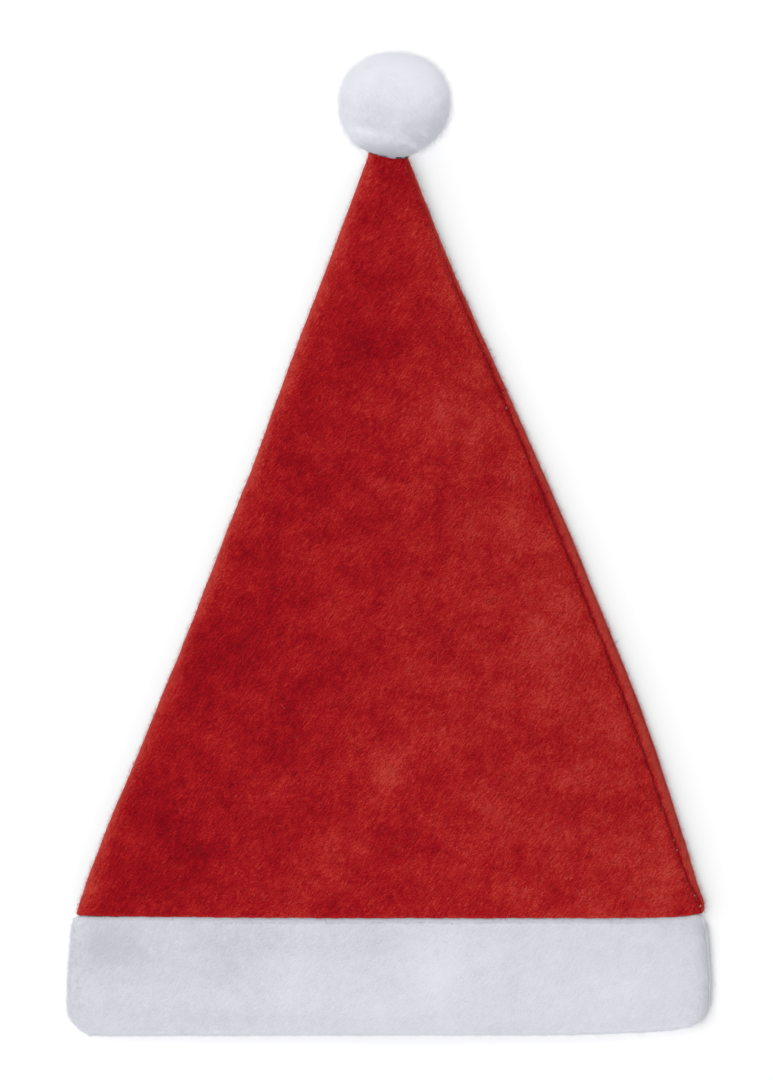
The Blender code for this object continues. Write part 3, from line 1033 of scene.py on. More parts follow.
def make_pompom():
    """The ball of soft tufts."""
    deselect_all()
    middle = (POMPOM_LOW + POMPOM_HIGH) / 2
    bpy.ops.mesh.primitive_ico_sphere_add(subdivisions=7, radius=1)
    ball = started("pompom_ball")
    ways = get_points(ball)
    half = np.array((*POMPOM_HALF, (POMPOM_HIGH - POMPOM_LOW).z / 2))
    reach = (np.abs(ways / half) ** POMPOM_POWER).sum(axis=1) ** (-1 / POMPOM_POWER)
    core = read_table(POMPOM_CORE, np.degrees(np.arctan2(ways[:, 1], ways[:, 0])) % 360)
    reach *= mix(POMPOM_CORE[0][1], core, np.hypot(ways[:, 0], ways[:, 1]) ** 2)
    points = ways * reach[:, None]
    long, wide = LOCK_WAY
    locks = points @ np.array(((long, -wide, 0.0), (wide, long, 0.0), (0.0, 0.0, 1.0)))
    tufted = smooth_step(0.5 + 0.7 * ways[:, 0] - 0.9 * ways[:, 1])
    size, high = BALL_LUMP
    lumps = high * clouds(points, size, 11)
    size, low, high = LOCK_LUMP
    lumps += mix(low, high, tufted) * clouds(locks * (LOCK_LENGTH, 1, 1), size, 12)
    lumps += LOCK_RISE * locks_at(points[:, 0], points[:, 1])
    points += ways * lumps[:, None]
    points += (*POMPOM_MIDDLE, middle.z)
    above_floor(points)
    set_points(ball, open_socket(points))
    face_outwards(ball)
    lean_normals(ball, POMPOM_LEAN)
    points = get_points(ball)
    note(ball, "tone", plush_painted_shading(points))
    return ball


def locks_at(x, y):
    """Where the pompom's larger locks stand out and the dips between them lie; the same numbers paint a
    highlight on the locks and shade in the dips.
    """
    total = np.zeros(x.shape)
    for place_x, place_y, long, wide, turn, amount in PLUSH_LOCKS:
        along = (x - place_x) * math.cos(turn) + (y - place_y) * math.sin(turn)
        beside = (y - place_y) * math.cos(turn) - (x - place_x) * math.sin(turn)
        total += amount * bell(along, long) * bell(beside, wide)
    return total


# Painted light and shade of the pompom, from its patches and its locks
def plush_painted_shading(points):
    x = points[:, 0] - POMPOM_MIDDLE[0]
    y = points[:, 1] - POMPOM_MIDDLE[1]
    return tone_of(x, y, PLUSH_PAINTED_SHADING, 0.0) + locks_at(x, y)


def lean_normals(piece, lean):
    """Lets light in from above: cotton glows through, so its sides look less steep than they are."""
    normals = np.empty(len(piece.data.vertices) * 3)
    piece.data.vertices.foreach_get("normal", normals)
    normals = normals.reshape(-1, 3)
    lean = lean + LEAN_FAR * np.maximum(normals[:, 1], 0) + LEAN_NEAR * np.minimum(normals[:, 1], 0)
    leant = unit(normals + np.outer(lean, (0.0, 0.0, 1.0)))
    piece.data.normals_split_custom_set_from_vertices(leant)


def plain(name, colour, roughness):
    material = bpy.data.materials.new(name)
    material.use_nodes = True
    shader = material.node_tree.nodes["Principled BSDF"]
    shader.inputs["Base Color"].default_value = (*colour, 1)
    shader.inputs["Roughness"].default_value = roughness
    return material


def add_node(tree, kind, inputs=None, **settings):
    """A node with its settings, each input given a value or linked to a socket."""
    made = tree.nodes.new(kind)
    for name, value in settings.items():
        setattr(made, name, value)
    for name, value in (inputs or {}).items():
        if isinstance(value, bpy.types.NodeSocket):
            tree.links.new(value, made.inputs[name])
        else:
            made.inputs[name].default_value = value
    return made


def effect_group(name, inputs, outputs):
    """An empty node group with named number inputs and outputs, and its two end nodes."""
    group = bpy.data.node_groups.new(name, "ShaderNodeTree")
    for label, value in inputs.items():
        group.interface.new_socket(label, in_out="INPUT", socket_type="NodeSocketFloat")
        group.interface.items_tree[label].default_value = value
    for label in outputs:
        group.interface.new_socket(label, in_out="OUTPUT", socket_type="NodeSocketFloat")
    return group, group.nodes.new("NodeGroupInput"), group.nodes.new("NodeGroupOutput")


def math_node(tree, operation, first, second):
    made = add_node(tree, "ShaderNodeMath", {0: first, 1: second}, operation=operation)
    return made.outputs[0]


def make_felt_streaks():
    """Fibres that lie one way, curled: noise that is long one way and thin across it."""
    inputs = {"Angle": 1.0, "Length": 0.005, "Width": 0.0005, "Curl": 0.002, "Drift": 140.0}
    group, given, result = effect_group("felt_streaks", inputs, ["Streaks"])
    place = add_node(group, "ShaderNodeTexCoord").outputs["Object"]
    drift = add_node(
        group, "ShaderNodeTexNoise",
        {"Vector": place, "Scale": given.outputs["Drift"], "Detail": 1.0})
    centred = add_node(
        group, "ShaderNodeVectorMath",
        {0: drift.outputs["Color"], 1: (0.5, 0.5, 0.5)}, operation="SUBTRACT")
    pushed = add_node(
        group, "ShaderNodeVectorMath",
        {0: centred.outputs[0], "Scale": given.outputs["Curl"]}, operation="SCALE")
    bent = add_node(
        group, "ShaderNodeVectorMath", {0: place, 1: pushed.outputs[0]}, operation="ADD")
    turned = add_node(
        group, "ShaderNodeVectorRotate",
        {"Vector": bent.outputs[0], "Angle": math_node(group, "MULTIPLY", given.outputs["Angle"], -1.0)},
        rotation_type="Z_AXIS")
    along = math_node(group, "DIVIDE", 1.0, given.outputs["Length"])
    across = math_node(group, "DIVIDE", 1.0, given.outputs["Width"])
    stretch = add_node(group, "ShaderNodeCombineXYZ", {"X": along, "Y": across, "Z": across})
    fine = add_node(
        group, "ShaderNodeVectorMath",
        {0: turned.outputs[0], 1: stretch.outputs[0]}, operation="MULTIPLY")
    streaks = add_node(
        group, "ShaderNodeTexNoise",
        {"Vector": fine.outputs[0], "Scale": 1.0, "Detail": 2.0, "Roughness": 0.55})
    group.links.new(streaks.outputs["Fac"], result.inputs["Streaks"])
    return group


def make_felt_clouds():
    """Soft patches where more or fewer loose fibres lie, and the fine grain between them."""
    inputs = {"Patch": 0.016, "Tuft": 0.005, "Grain": 0.0007}
    group, given, result = effect_group("felt_clouds", inputs, ["Patches", "Tufts", "Grain"])
    place = add_node(group, "ShaderNodeTexCoord").outputs["Object"]
    for label, source in (("Patches", "Patch"), ("Tufts", "Tuft"), ("Grain", "Grain")):
        scale = math_node(group, "DIVIDE", 1.0, given.outputs[source])
        cloud = add_node(
            group, "ShaderNodeTexNoise",
            {"Vector": place, "Scale": scale, "Detail": 2.0, "Roughness": 0.6})
        group.links.new(cloud.outputs["Fac"], result.inputs[label])
    return group


def shade_ramp(tree, factor, shades):
    ramp = add_node(tree, "ShaderNodeValToRGB", {"Fac": factor})
    steps = ramp.color_ramp.elements
    while len(steps) < len(shades):
        steps.new(0.5)
    for step, (place, colour) in zip(steps, shades):
        step.position = place
        step.color = (*colour, 1)
    return ramp.outputs["Color"]


def set_surface(shader, sheen):
    """Dry wool: hardly any gloss, and a thin bloom of fibres at a grazing angle."""
    shader.inputs["Roughness"].default_value = 0.95
    shader.inputs["Specular IOR Level"].default_value = 0.04
    weight, tint = sheen
    shader.inputs["Sheen Weight"].default_value = weight
    shader.inputs["Sheen Roughness"].default_value = 0.45
    shader.inputs["Sheen Tint"].default_value = (*tint, 1)


def thrown(tree, colour, bounce):
    """The colour as it is, and the plain dark one that it throws on the paper beside it."""
    path = add_node(tree, "ShaderNodeLightPath")
    blend = add_node(tree, "ShaderNodeMix", data_type="RGBA")
    tree.links.new(path.outputs["Is Diffuse Ray"], blend.inputs[0])
    tree.links.new(colour, blend.inputs[6])
    blend.inputs[7].default_value = (*bounce, 1)
    return blend.outputs[2]


def fibre_material(name, shades, sheen, bounce=None):
    """Loose fibres, each with its own shade noted on its points."""
    material = bpy.data.materials.new(name)
    material.use_nodes = True
    tree = material.node_tree
    shader = tree.nodes["Principled BSDF"]
    shade = add_node(tree, "ShaderNodeAttribute", attribute_name="shade").outputs["Fac"]
    colour = shade_ramp(tree, shade, shades)
    if bounce:
        colour = thrown(tree, colour, bounce)
    tree.links.new(colour, shader.inputs["Base Color"])
    set_surface(shader, sheen)
    return material


# A second, shorter layer of streaks lies across the first, and how high both stand
CROSS_TURN = 0.6
CROSS_LENGTH = 0.0032
CROSS_WIDTH = 0.0004
BUMP_HEIGHT = 0.0004


def felt_material(name, groups, shades, amounts, tone, angle, sheen, bump, bounce=None):
    """Felt: colour from its tone, patches, tufts, grain and streaks, which also raise it."""
    material = bpy.data.materials.new(name)
    material.use_nodes = True
    tree = material.node_tree
    shader = tree.nodes["Principled BSDF"]
    streaks_group, clouds_group = groups
    streaks = add_node(tree, "ShaderNodeGroup", node_tree=streaks_group)
    streaks.inputs["Angle"].default_value = angle
    cross = add_node(tree, "ShaderNodeGroup", node_tree=streaks_group)
    cross.inputs["Angle"].default_value = angle - CROSS_TURN
    cross.inputs["Length"].default_value = CROSS_LENGTH
    cross.inputs["Width"].default_value = CROSS_WIDTH
    cloud = add_node(tree, "ShaderNodeGroup", node_tree=clouds_group)
    sources = (
        cloud.outputs["Patches"], cloud.outputs["Tufts"], cloud.outputs["Grain"],
        streaks.outputs["Streaks"], cross.outputs["Streaks"],
    )
    noted = add_node(tree, "ShaderNodeAttribute", attribute_name="tone").outputs["Fac"]
    total = math_node(
        tree, "ADD", math_node(tree, "MULTIPLY", noted, tone), 0.5 * (1 - sum(amounts)))
    for source, amount in zip(sources, amounts):
        total = math_node(tree, "ADD", math_node(tree, "MULTIPLY", source, amount), total)
    colour = shade_ramp(tree, total, shades)
    if bounce:
        colour = thrown(tree, colour, bounce)
    tree.links.new(colour, shader.inputs["Base Color"])
    fine = math_node(tree, "ADD", sources[2], math_node(tree, "ADD", sources[3], sources[4]))
    bumps = add_node(
        tree, "ShaderNodeBump", {"Height": fine, "Strength": bump, "Distance": BUMP_HEIGHT})
    tree.links.new(bumps.outputs["Normal"], shader.inputs["Normal"])
    set_surface(shader, sheen)
    return material


RED_BOUNCE = (0.055, 0.052, 0.056)
RED_SHADES = (
    (0.10, (0.156, 0.0024, 0.0074)),
    (0.36, (0.308, 0.0036, 0.0092)),
    (0.50, (0.392, 0.0088, 0.0124)),
    (0.62, (0.462, 0.0195, 0.0180)),
    (0.80, (0.568, 0.0540, 0.0410)),
)
WHITE_SHADES = (
    (0.00, (0.567, 0.573, 0.624)),
    (0.50, (0.725, 0.732, 0.792)),
    (1.00, (0.842, 0.849, 0.918)),
)
PLUSH_SHADES = (
    (0.10, (0.640, 0.650, 0.712)),
    (0.50, (0.830, 0.837, 0.902)),
    (0.80, (0.930, 0.939, 0.999)),
)
RED_FIBRE_SHADES = (
    (0.10, (0.230, 0.0030, 0.0080)),
    (0.45, (0.408, 0.0130, 0.0155)),
    (0.75, (0.554, 0.0440, 0.0370)),
    (1.00, (0.682, 0.1450, 0.1080)),
)
WHITE_FIBRE_SHADES = (
    (0.00, (0.680, 0.686, 0.744)),
    (0.50, (0.770, 0.777, 0.842)),
    (1.00, (0.850, 0.857, 0.928)),
)
PLUSH_FIBRE_SHADES = (
    # The darkest step is painted shade, for the neck tufts
    (0.00, (0.480, 0.496, 0.552)),
    (0.15, (0.720, 0.730, 0.792)),
    (0.50, (0.860, 0.867, 0.932)),
    (1.00, (0.920, 0.928, 0.994)),
)


def in_order(corners, points):
    """Triangles in an order that only the places of their corners give.

    The faces of a new sphere come in another order each time, and fibres must not.
    """
    rank = np.empty(len(points), dtype=np.int64)
    rank[np.lexsort(points.T)] = np.arange(len(points))
    first = rank[corners].argmin(axis=1)
    turned = np.take_along_axis(corners, (first[:, None] + np.arange(3)) % 3, axis=1)
    return turned[np.lexsort(rank[turned].T)]


def surface_of(piece, chance):
    """Triangles of a piece, with how likely each is to carry a fibre: centre and way tell."""
    mesh = piece.data
    mesh.calc_loop_triangles()
    corners = np.empty(len(mesh.loop_triangles) * 3, dtype=np.int64)
    mesh.loop_triangles.foreach_get("vertices", corners)
    points = get_points(piece)
    corners = in_order(corners.reshape(-1, 3), points)
    triangles = points[corners]
    across = np.cross(triangles[:, 1] - triangles[:, 0], triangles[:, 2] - triangles[:, 0])
    size = np.linalg.norm(across, axis=1)
    ways = across / np.maximum(size, 1e-15)[:, None]
    weight = size * chance(triangles.mean(axis=1), ways)
    if "outside" in mesh.attributes:
        outside = np.empty(len(mesh.vertices))
        mesh.attributes["outside"].data.foreach_get("value", outside)
        weight *= outside[corners].min(axis=1) > 0.5
    return triangles, ways, weight


def scatter(piece, count, chance, dice):
    """Roots of fibres on a piece, and its outward way at each."""
    triangles, ways, weight = surface_of(piece, chance)
    chosen = dice.choice(len(weight), size=count, p=weight / weight.sum())
    a, b = dice.random((2, count, 1))
    flip = a + b > 1
    a = np.where(flip, 1 - a, a)
    b = np.where(flip, 1 - b, b)
    first, second, third = triangles[chosen].transpose(1, 0, 2)
    roots = first + (second - first) * a + (third - first) * b
    return roots, ways[chosen]


def unit(vectors):
    return vectors / np.maximum(np.linalg.norm(vectors, axis=1), 1e-12)[:, None]


# A fibre is a bent spindle: its root, three points round its middle, and its tip
SPINDLE_FACES = ((0, 1, 2), (0, 2, 3), (0, 3, 1), (4, 2, 1), (4, 3, 2), (4, 1, 3))
SPINDLE_MIDDLE = 0.42
ROOT_DEPTH = 0.00012
FIBRE_LEAN = 0.5
FUZZ_LEAN = 1.6


def note(piece, label, values):
    """Notes a number on each point of a piece, such as where fibres grow or how light it is."""
    attribute = piece.data.attributes.new(label, "FLOAT", "POINT")
    attribute.data.foreach_set("value", np.asarray(values, dtype=np.float32))


def many_shapes(name, points, faces):
    """One mesh of many copies of a small shape: (copies, corners, 3) points, one face list."""
    copies, corners = points.shape[:2]
    starts = corners * np.arange(copies)
    triangles = (np.array(faces)[None] + starts[:, None, None]).astype(np.int32).ravel()
    mesh = bpy.data.meshes.new(name)
    mesh.vertices.add(copies * corners)
    mesh.vertices.foreach_set("co", points.astype(np.float32).ravel())
    mesh.loops.add(len(triangles))
    mesh.loops.foreach_set("vertex_index", triangles)
    mesh.polygons.add(len(triangles) // 3)
    mesh.polygons.foreach_set("loop_start", np.arange(0, len(triangles), 3, dtype=np.int32))
    mesh.update(calc_edges=True)
    mesh.shade_smooth()
    piece = bpy.data.objects.new(name, mesh)
    bpy.context.scene.collection.objects.link(piece)
    return piece


def grow_fibres(
        name, roots, ways, along, size, lift, curl, shade, settle=0.62, lean=FIBRE_LEAN, fuzz=False):
    """Fibres as bent spindles in one mesh: each leaves its root along, rises, bends, tapers.

    Fuzz is too fine to shade anything, so it throws no shadow and no light.
    """
    along = unit(along - ways * (along * ways).sum(axis=1)[:, None])
    side = np.cross(along, ways)
    length, width = size
    length = length[:, None]

    def place(share):
        forward = along * share + side * curl[:, None] * share ** 2
        rise = lift[:, None] * (share - settle * share ** 2)
        return roots + length * (forward + ways * rise) - ways * ROOT_DEPTH

    points = [place(0.0)]
    for turn in (math.pi / 2, math.pi * 7 / 6, math.pi * 11 / 6):
        out = side * math.cos(turn) + ways * math.sin(turn)
        points.append(place(SPINDLE_MIDDLE) + out * (width / 2)[:, None])
    points.append(place(1.0))
    points = np.stack(points, axis=1)
    above_floor(points)
    piece = many_shapes(name, points, SPINDLE_FACES)
    corners = points.shape[1]
    normals = ways.copy()
    normals[:, 2] += lean
    leant = np.repeat(unit(normals), corners, axis=0)
    piece.data.normals_split_custom_set_from_vertices(leant)
    note(piece, "shade", np.repeat(shade, corners))
    if fuzz:
        piece.visible_shadow = False
        piece.visible_diffuse = False
    return piece


def turned_ways(angles):
    return np.column_stack((np.cos(angles), np.sin(angles), np.zeros(len(angles))))


def lengths(dice, count, middle, spread, most):
    return dice.lognormal(math.log(middle), spread, count).clip(middle * 0.4, most)


FELT_SLANT = 0.98


def slants(roots, dice, seed, loose):
    """Angles of fibres: the felt's own slant, and at random for a loose share of them."""
    angles = FELT_SLANT + 0.5 * clouds(roots, 0.026, seed) + dice.normal(0, 0.4, len(roots))
    free = dice.random(len(roots)) < loose
    angles[free] = dice.uniform(0, 2 * math.pi, free.sum())
    return angles


def facing_up(ways):
    return np.clip(ways[:, 2], 0, 1)


def red_tone_and_sheen(roots):
    """How light the red felt lies under each fibre, the painted sheen at the fold included."""
    x, y = roots[:, :2].T
    return tone_of(x, y, RED_TONES, RED_SLOPE) + fold_painted_sheen(x, y)


def make_crown_nap(crown, count, seed):
    """Fine fibres of the red felt, denser where it turns over the fold and the seam side."""
    dice = np.random.default_rng(seed)
    roots, ways = scatter(
        crown, count,
        lambda places, out: np.clip(out[:, 2] + 0.4, 0, 1) * (1 + 1.6 * (1 - np.abs(out[:, 2]))),
        dice)
    size = (lengths(dice, count, 0.0024, 0.4, 0.006), dice.uniform(0.00006, 0.00012, count))
    lift = dice.exponential(0.13, count).clip(0.02, 0.36)
    shade = 0.42 + 0.12 * red_tone_and_sheen(roots) + dice.normal(0, 0.25, count)
    return grow_fibres(
        "crown_nap", roots, ways, turned_ways(slants(roots, dice, seed, 0.3)), size, lift,
        dice.normal(0, 0.4, count), shade)


def make_crown_strands(crown, count, seed):
    """Thicker strands that lie flat on the front of the red felt."""
    dice = np.random.default_rng(seed)
    roots, ways = scatter(
        crown, count, lambda places, out: facing_up(out) * (places[:, 1] > HEM + 0.001),
        dice)
    size = (lengths(dice, count, 0.0034, 0.4, 0.009), dice.uniform(0.00009, 0.0002, count))
    lift = dice.exponential(0.04, count).clip(0.02, 0.2)
    shade = 0.36 + 0.14 * red_tone_and_sheen(roots) + dice.normal(0, 0.25, count)
    return grow_fibres(
        "crown_strands", roots, ways, turned_ways(slants(roots, dice, seed, 0.25)), size, lift,
        dice.normal(0, 0.5, count), shade)


def make_hem_fibres(crown, count, seed):
    """Loose red ends at the hem that reach down over the white felt."""
    dice = np.random.default_rng(seed)
    roots, ways = scatter(
        crown, count,
        lambda places, out: (places[:, 1] < HEM + 0.0012) * np.clip(out[:, 2] + 0.3, 0, 1), dice)
    angles = dice.normal(-math.pi / 2, 1.0, count)
    size = (lengths(dice, count, 0.0006, 0.6, 0.0040), dice.uniform(0.00006, 0.00011, count))
    lift = dice.normal(0.0, 0.12, count)
    shade = 0.60 + dice.normal(0, 0.14, count)
    return grow_fibres(
        "hem_fibres", roots, ways, turned_ways(angles), size, lift, dice.normal(0, 0.6, count), shade)


# The fuzz is shorter along the rim
RIM_FUZZ = 0.5


def make_edge_fuzz(name, piece, count, length, lowest, highest, tone, seed):
    """Fine fibres that stand out from a felt piece all along its edges."""
    dice = np.random.default_rng(seed)
    roots, ways = scatter(
        piece, count,
        lambda places, out: np.clip(0.9 - np.abs(out[:, 2]), 0, 1) * (out[:, 2] > -0.4)
        * (places[:, 1] > lowest) * (places[:, 1] < highest), dice)
    grown = lengths(dice, count, length, 0.5, length * 2)
    grown *= np.where(roots[:, 1] < RIM + RIM_CORNER / 2, RIM_FUZZ, 1.0)
    size = (grown, dice.uniform(0.00005, 0.00008, count))
    return grow_fibres(
        name, roots, ways, dice.normal(0, 1, (count, 3)), size, dice.uniform(0.3, 1.8, count),
        dice.normal(0, 0.4, count), tone + dice.normal(0, 0.12, count), settle=0.35,
        lean=FUZZ_LEAN, fuzz=True)


def make_stray_fibres(crown, count, seed):
    """Pale, longer fibres that stand out here and there on the red felt."""
    dice = np.random.default_rng(seed)
    roots, ways = scatter(
        crown, count, lambda places, out: facing_up(out) * (places[:, 1] > HEM + 0.002),
        dice)
    size = (lengths(dice, count, 0.0025, 0.3, 0.0055), dice.uniform(0.0001, 0.00018, count))
    angles = slants(roots, dice, seed, 0.3)
    return grow_fibres(
        "stray_fibres", roots, ways, turned_ways(angles), size, dice.uniform(0.04, 0.14, count),
        dice.normal(0, 0.5, count), dice.uniform(0.58, 0.84, count))


# White fibres this close to the hem lie away from it
HEM_CLEAR = 0.005


def make_band_nap(band, count, seed):
    """Fine fibres that lie every way over the white felt."""
    dice = np.random.default_rng(seed)
    roots, ways = scatter(
        band, count,
        lambda places, out: np.clip(out[:, 2] + 0.5, 0, 1) * (1 + 3 * (1 - np.abs(out[:, 2])))
        * (places[:, 1] < HEM - 0.0014), dice)
    size = (lengths(dice, count, 0.0023, 0.35, 0.0055), dice.uniform(0.00008, 0.00016, count))
    lift = dice.exponential(mix(0.25, 0.06, facing_up(ways)), count).clip(0.02, 0.9)
    shade = 0.5 + 0.28 * tone_of(roots[:, 0], roots[:, 1], WHITE_TONES, WHITE_SLOPE)
    shade += 0.12 * clouds(roots, 0.0035, seed) + dice.normal(0, 0.16, count)
    angles = dice.uniform(-math.pi, math.pi, count)
    angles = np.where(roots[:, 1] > HEM - HEM_CLEAR, -np.abs(angles), angles)
    return grow_fibres(
        "band_nap", roots, ways, turned_ways(angles), size, lift, dice.normal(0, 0.4, count), shade)


# How far the pompom's nap leans up, and the pompom's mouth along X, with a margin on both sides
# and up to this place along Y: few of its fibres grow there, and short ones
HALO_LEAN = 0.9
NECK_SPAN = (-0.0105, 0.0078)
NECK_MARGINS = (0.0025, 0.0035)
NECK_BARE = 0.1795


def over_neck(places):
    """Where fibres of the pompom would hang over the tie and the crown."""
    x, y, z = places.T
    first = NECK_SPAN[0] - NECK_MARGINS[0]
    last = NECK_SPAN[1] + NECK_MARGINS[1]
    return (y < NECK_BARE) & (x > first) & (x < last)


def make_pompom_nap(ball, count, seed):
    """Fibres that lie swept over the pompom."""
    dice = np.random.default_rng(seed)
    roots, ways = scatter(
        ball, count,
        lambda places, out: np.clip(out[:, 2] + 1.05, 0.1, 1.2) * (1 - 0.5 * over_neck(places)),
        dice)
    sweep = np.column_stack([clouds(roots, 0.024, seed + i) for i in range(3)])
    along = sweep + 0.2 * dice.normal(0, 1, (count, 3))
    length = lengths(dice, count, 0.0026, 0.3, 0.005) * (1 - 0.75 * over_neck(roots))
    size = (length, dice.uniform(0.00006, 0.0001, count))
    return grow_fibres(
        "pompom_nap", roots, ways, along, size, dice.uniform(0.02, 0.1, count),
        dice.normal(0, 0.3, count), 0.5 + 0.25 * plush_painted_shading(roots) + dice.normal(0, 0.1, count),
        lean=HALO_LEAN + LEAN_FAR * np.maximum(ways[:, 1], 0))


def make_pompom_halo(ball, count, seed):
    """Fine ends that stand out all round the pompom."""
    dice = np.random.default_rng(seed)
    roots, ways = scatter(
        ball, count,
        lambda places, out: np.clip(1.2 - np.abs(out[:, 2]), 0.1, 1) * ~over_neck(places), dice)
    length = lengths(dice, count, 0.0023, 0.5, 0.0052) * (1 - 0.8 * over_neck(roots))
    size = (length, dice.uniform(0.00004, 0.00006, count))
    return grow_fibres(
        "pompom_halo", roots, ways, dice.normal(0, 1, (count, 3)), size,
        dice.uniform(0.3, 1.7, count), dice.normal(0, 0.3, count),
        0.5 + 0.25 * plush_painted_shading(roots) + dice.normal(0, 0.08, count), settle=0.4,
        lean=FUZZ_LEAN, fuzz=True)


def sewn_stitch(length, thick):
    """Points and triangles of one short run of thread, round and pointed at both ends."""
    deselect_all()
    bpy.ops.mesh.primitive_uv_sphere_add(segments=6, ring_count=5, radius=0.5)
    stitch = started("stitch")
    bpy.ops.object.mode_set(mode="EDIT")
    bpy.ops.mesh.select_all(action="SELECT")
    bpy.ops.transform.resize(value=(length, thick, thick))
    bpy.ops.mesh.quads_convert_to_tris()
    bpy.ops.object.mode_set(mode="OBJECT")
    points = get_points(stitch)
    faces = [tuple(face.vertices) for face in stitch.data.polygons]
    bpy.data.objects.remove(stitch)
    return points, faces


def sew(name, places, turns, stitch):
    """Copies of one stitch in one mesh, each at its place and turned about Z."""
    points, faces = stitch
    copies = []
    for place, turn in zip(places, turns):
        x = points[:, 0] * math.cos(turn) - points[:, 1] * math.sin(turn)
        y = points[:, 0] * math.sin(turn) + points[:, 1] * math.cos(turn)
        copies.append(np.column_stack((x, y, points[:, 2])) + place)
    return many_shapes(name, np.array(copies), faces)


def seam_point(seam_line, y):
    order = np.argsort(seam_line[:, 1])
    line = seam_line[order]
    return np.array([np.interp(y, line[:, 1], line[:, i]) for i in range(3)])


def sew_row(name, seam_line, span, pitch, high, turn, sway, stitch):
    """A row of stitches along the seam, each turned a little off the last one's way."""
    first, last = span
    steps = range(math.ceil(first / pitch), math.floor(last / pitch))
    places = [seam_point(seam_line, k * pitch) + (0, 0, high) for k in steps]
    turns = [turn + sway * math.sin(k * 2.4) for k in steps]
    return sew(name, places, turns, stitch)


def make_seam_thread(seam_line):
    """Machine stitches that hold the two felts together, deep in the seam."""
    return sew_row(
        "seam_thread", seam_line, (HEM + 0.003, PEAK - 0.03), STITCH_PITCH, 0.00022, 0.35, 0.2,
        sewn_stitch(0.0011, 0.00026))


def make_band_thread(seam_line):
    """Closer stitches along the same seam down the white band."""
    return sew_row(
        "band_thread", seam_line, (RIM + 0.012, HEM - 0.002), STITCH_PITCH / 2, 0.0001,
        math.pi / 2, 0.3, sewn_stitch(0.0009, 0.00022))


# Where dark thread shows just below the hem as painted shade, the shade in the gap under
# the hem: x, and how it lies there
HEM_GLIMPSE_TURN = -0.06
HEM_GLIMPSE_DROP = 0.00005
HEM_GLIMPSES = (-0.1362, -0.1342, -0.1323, -0.1304, -0.1284, -0.1263, -0.1240, -0.0905)


def make_hem_shade_thread(hem_line):
    """Glimpses of dark thread just below the crown's hem, near the fold: painted shade in the gap under
    the hem.
    """
    front = hem_line[hem_line[:, 2] > hem_line[:, 2].mean()]
    line = front[np.argsort(front[:, 0])]
    places = []
    for x in HEM_GLIMPSES:
        y, z = [np.interp(x, line[:, 0], line[:, i]) for i in (1, 2)]
        places.append((x, y - HEM_GLIMPSE_DROP, z))
    turns = [HEM_GLIMPSE_TURN] * len(places)
    return sew("hem_shade_thread", places, turns, sewn_stitch(0.0020, 0.00026))


# Where white thread shows in the side seam: y, how far beside the seam, how high, turn
GLIMPSES = (
    (-0.1634, 0.0002, 0.0006, 1.1),
    (-0.1637, -0.0002, 0.0006, -0.5),
    (-0.1588, -0.0001, 0.0006, 1.9),
    (-0.1384, 0.0001, 0.0003, 1.2),
    (-0.1339, 0.0000, 0.0003, 1.4),
    (0.0605, 0.0000, 0.0004, 1.3),
)


def make_thread_glimpses(seam_line):
    """White thread that shows here and there in the side seam."""
    places = [seam_point(seam_line, y) + (beside, 0, high) for y, beside, high, turn in GLIMPSES]
    turns = [turn for y, beside, high, turn in GLIMPSES]
    return sew("thread_glimpses", places, turns, sewn_stitch(0.0009, 0.00026))


# The tie follows the pompom's round near side: x, y
TIE_LINE = (
    (-0.0110, 0.1775),
    (-0.0101, 0.1753),
    (-0.0061, 0.1741),
    (-0.0030, 0.1733),
    (0.0006, 0.1727),
    (0.0038, 0.1725),
    (0.0070, 0.1728),
    (0.0077, 0.1734),
    (0.0082, 0.1756),
)

# How much further along Y each turn of the tie lies, how thick its thread is, and its points
TIE_TURNS = (0.0, 0.00028)
TIE_THREAD = 0.00032
TIE_POINTS = 96
TIE_SIDES = 8

# The locks at the pompom's mouth: how far over the crown, how deep they root, fibres in each,
# and the gaps where the tie shows: x, reach
NECK_OVER = 0.0008
NECK_ROOT = 0.0009
NECK_LOCK = 6
NECK_GAPS = (
    (-0.0092, 0.0014),
    (-0.0068, 0.0010),
    (-0.0043, 0.0010),
    (-0.0026, 0.0006),
    (0.0026, 0.0008),
    (0.0041, 0.0008),
    (0.0066, 0.0012),
)


def make_tie_thread():
    """Two turns of thread that tie the pompom on, round the crown just below it, coloured dark as
    painted shade: the shade in the gaps under the pompom's tufts.
    """
    loop = outline(read_table(TIE_LINE, 0.0))
    length = run_of(loop)[1]
    at = np.linspace(0, length[-1], TIE_POINTS, endpoint=False)
    ring = np.column_stack([np.interp(at, length, loop[:, k]) for k in range(2)])
    onward = onward_ways(ring)
    outward = np.column_stack((onward[:, 1], -onward[:, 0]))
    ring += outward * (TIE_THREAD / 2 + CLEARANCE / 2)
    turns = []
    for further in TIE_TURNS:
        deselect_all()
        bpy.ops.mesh.primitive_torus_add(
            major_segments=TIE_POINTS, minor_segments=TIE_SIDES, major_radius=1,
            minor_radius=RING_THICK)
        turn = started("tie_thread")
        start = get_points(turn)
        i = columns_of(start, TIE_POINTS)
        out = (np.hypot(start[:, 0], start[:, 1]) - 1) / RING_THICK * TIE_THREAD / 2
        beside = start[:, 2] / RING_THICK * TIE_THREAD / 2
        y = read_table(TIE_LINE, ring[i, 0]) + further + beside
        points = np.column_stack((
            ring[i, 0] + outward[i, 0] * out, y, ring[i, 1] + outward[i, 1] * out))
        above_floor(points)
        set_points(turn, points)
        turns.append(turn)
    deselect_all()
    for turn in turns:
        turn.select_set(True)
    bpy.context.view_layer.objects.active = turns[0]
    bpy.ops.object.join()
    face_outwards(turns[0])
    return turns[0]


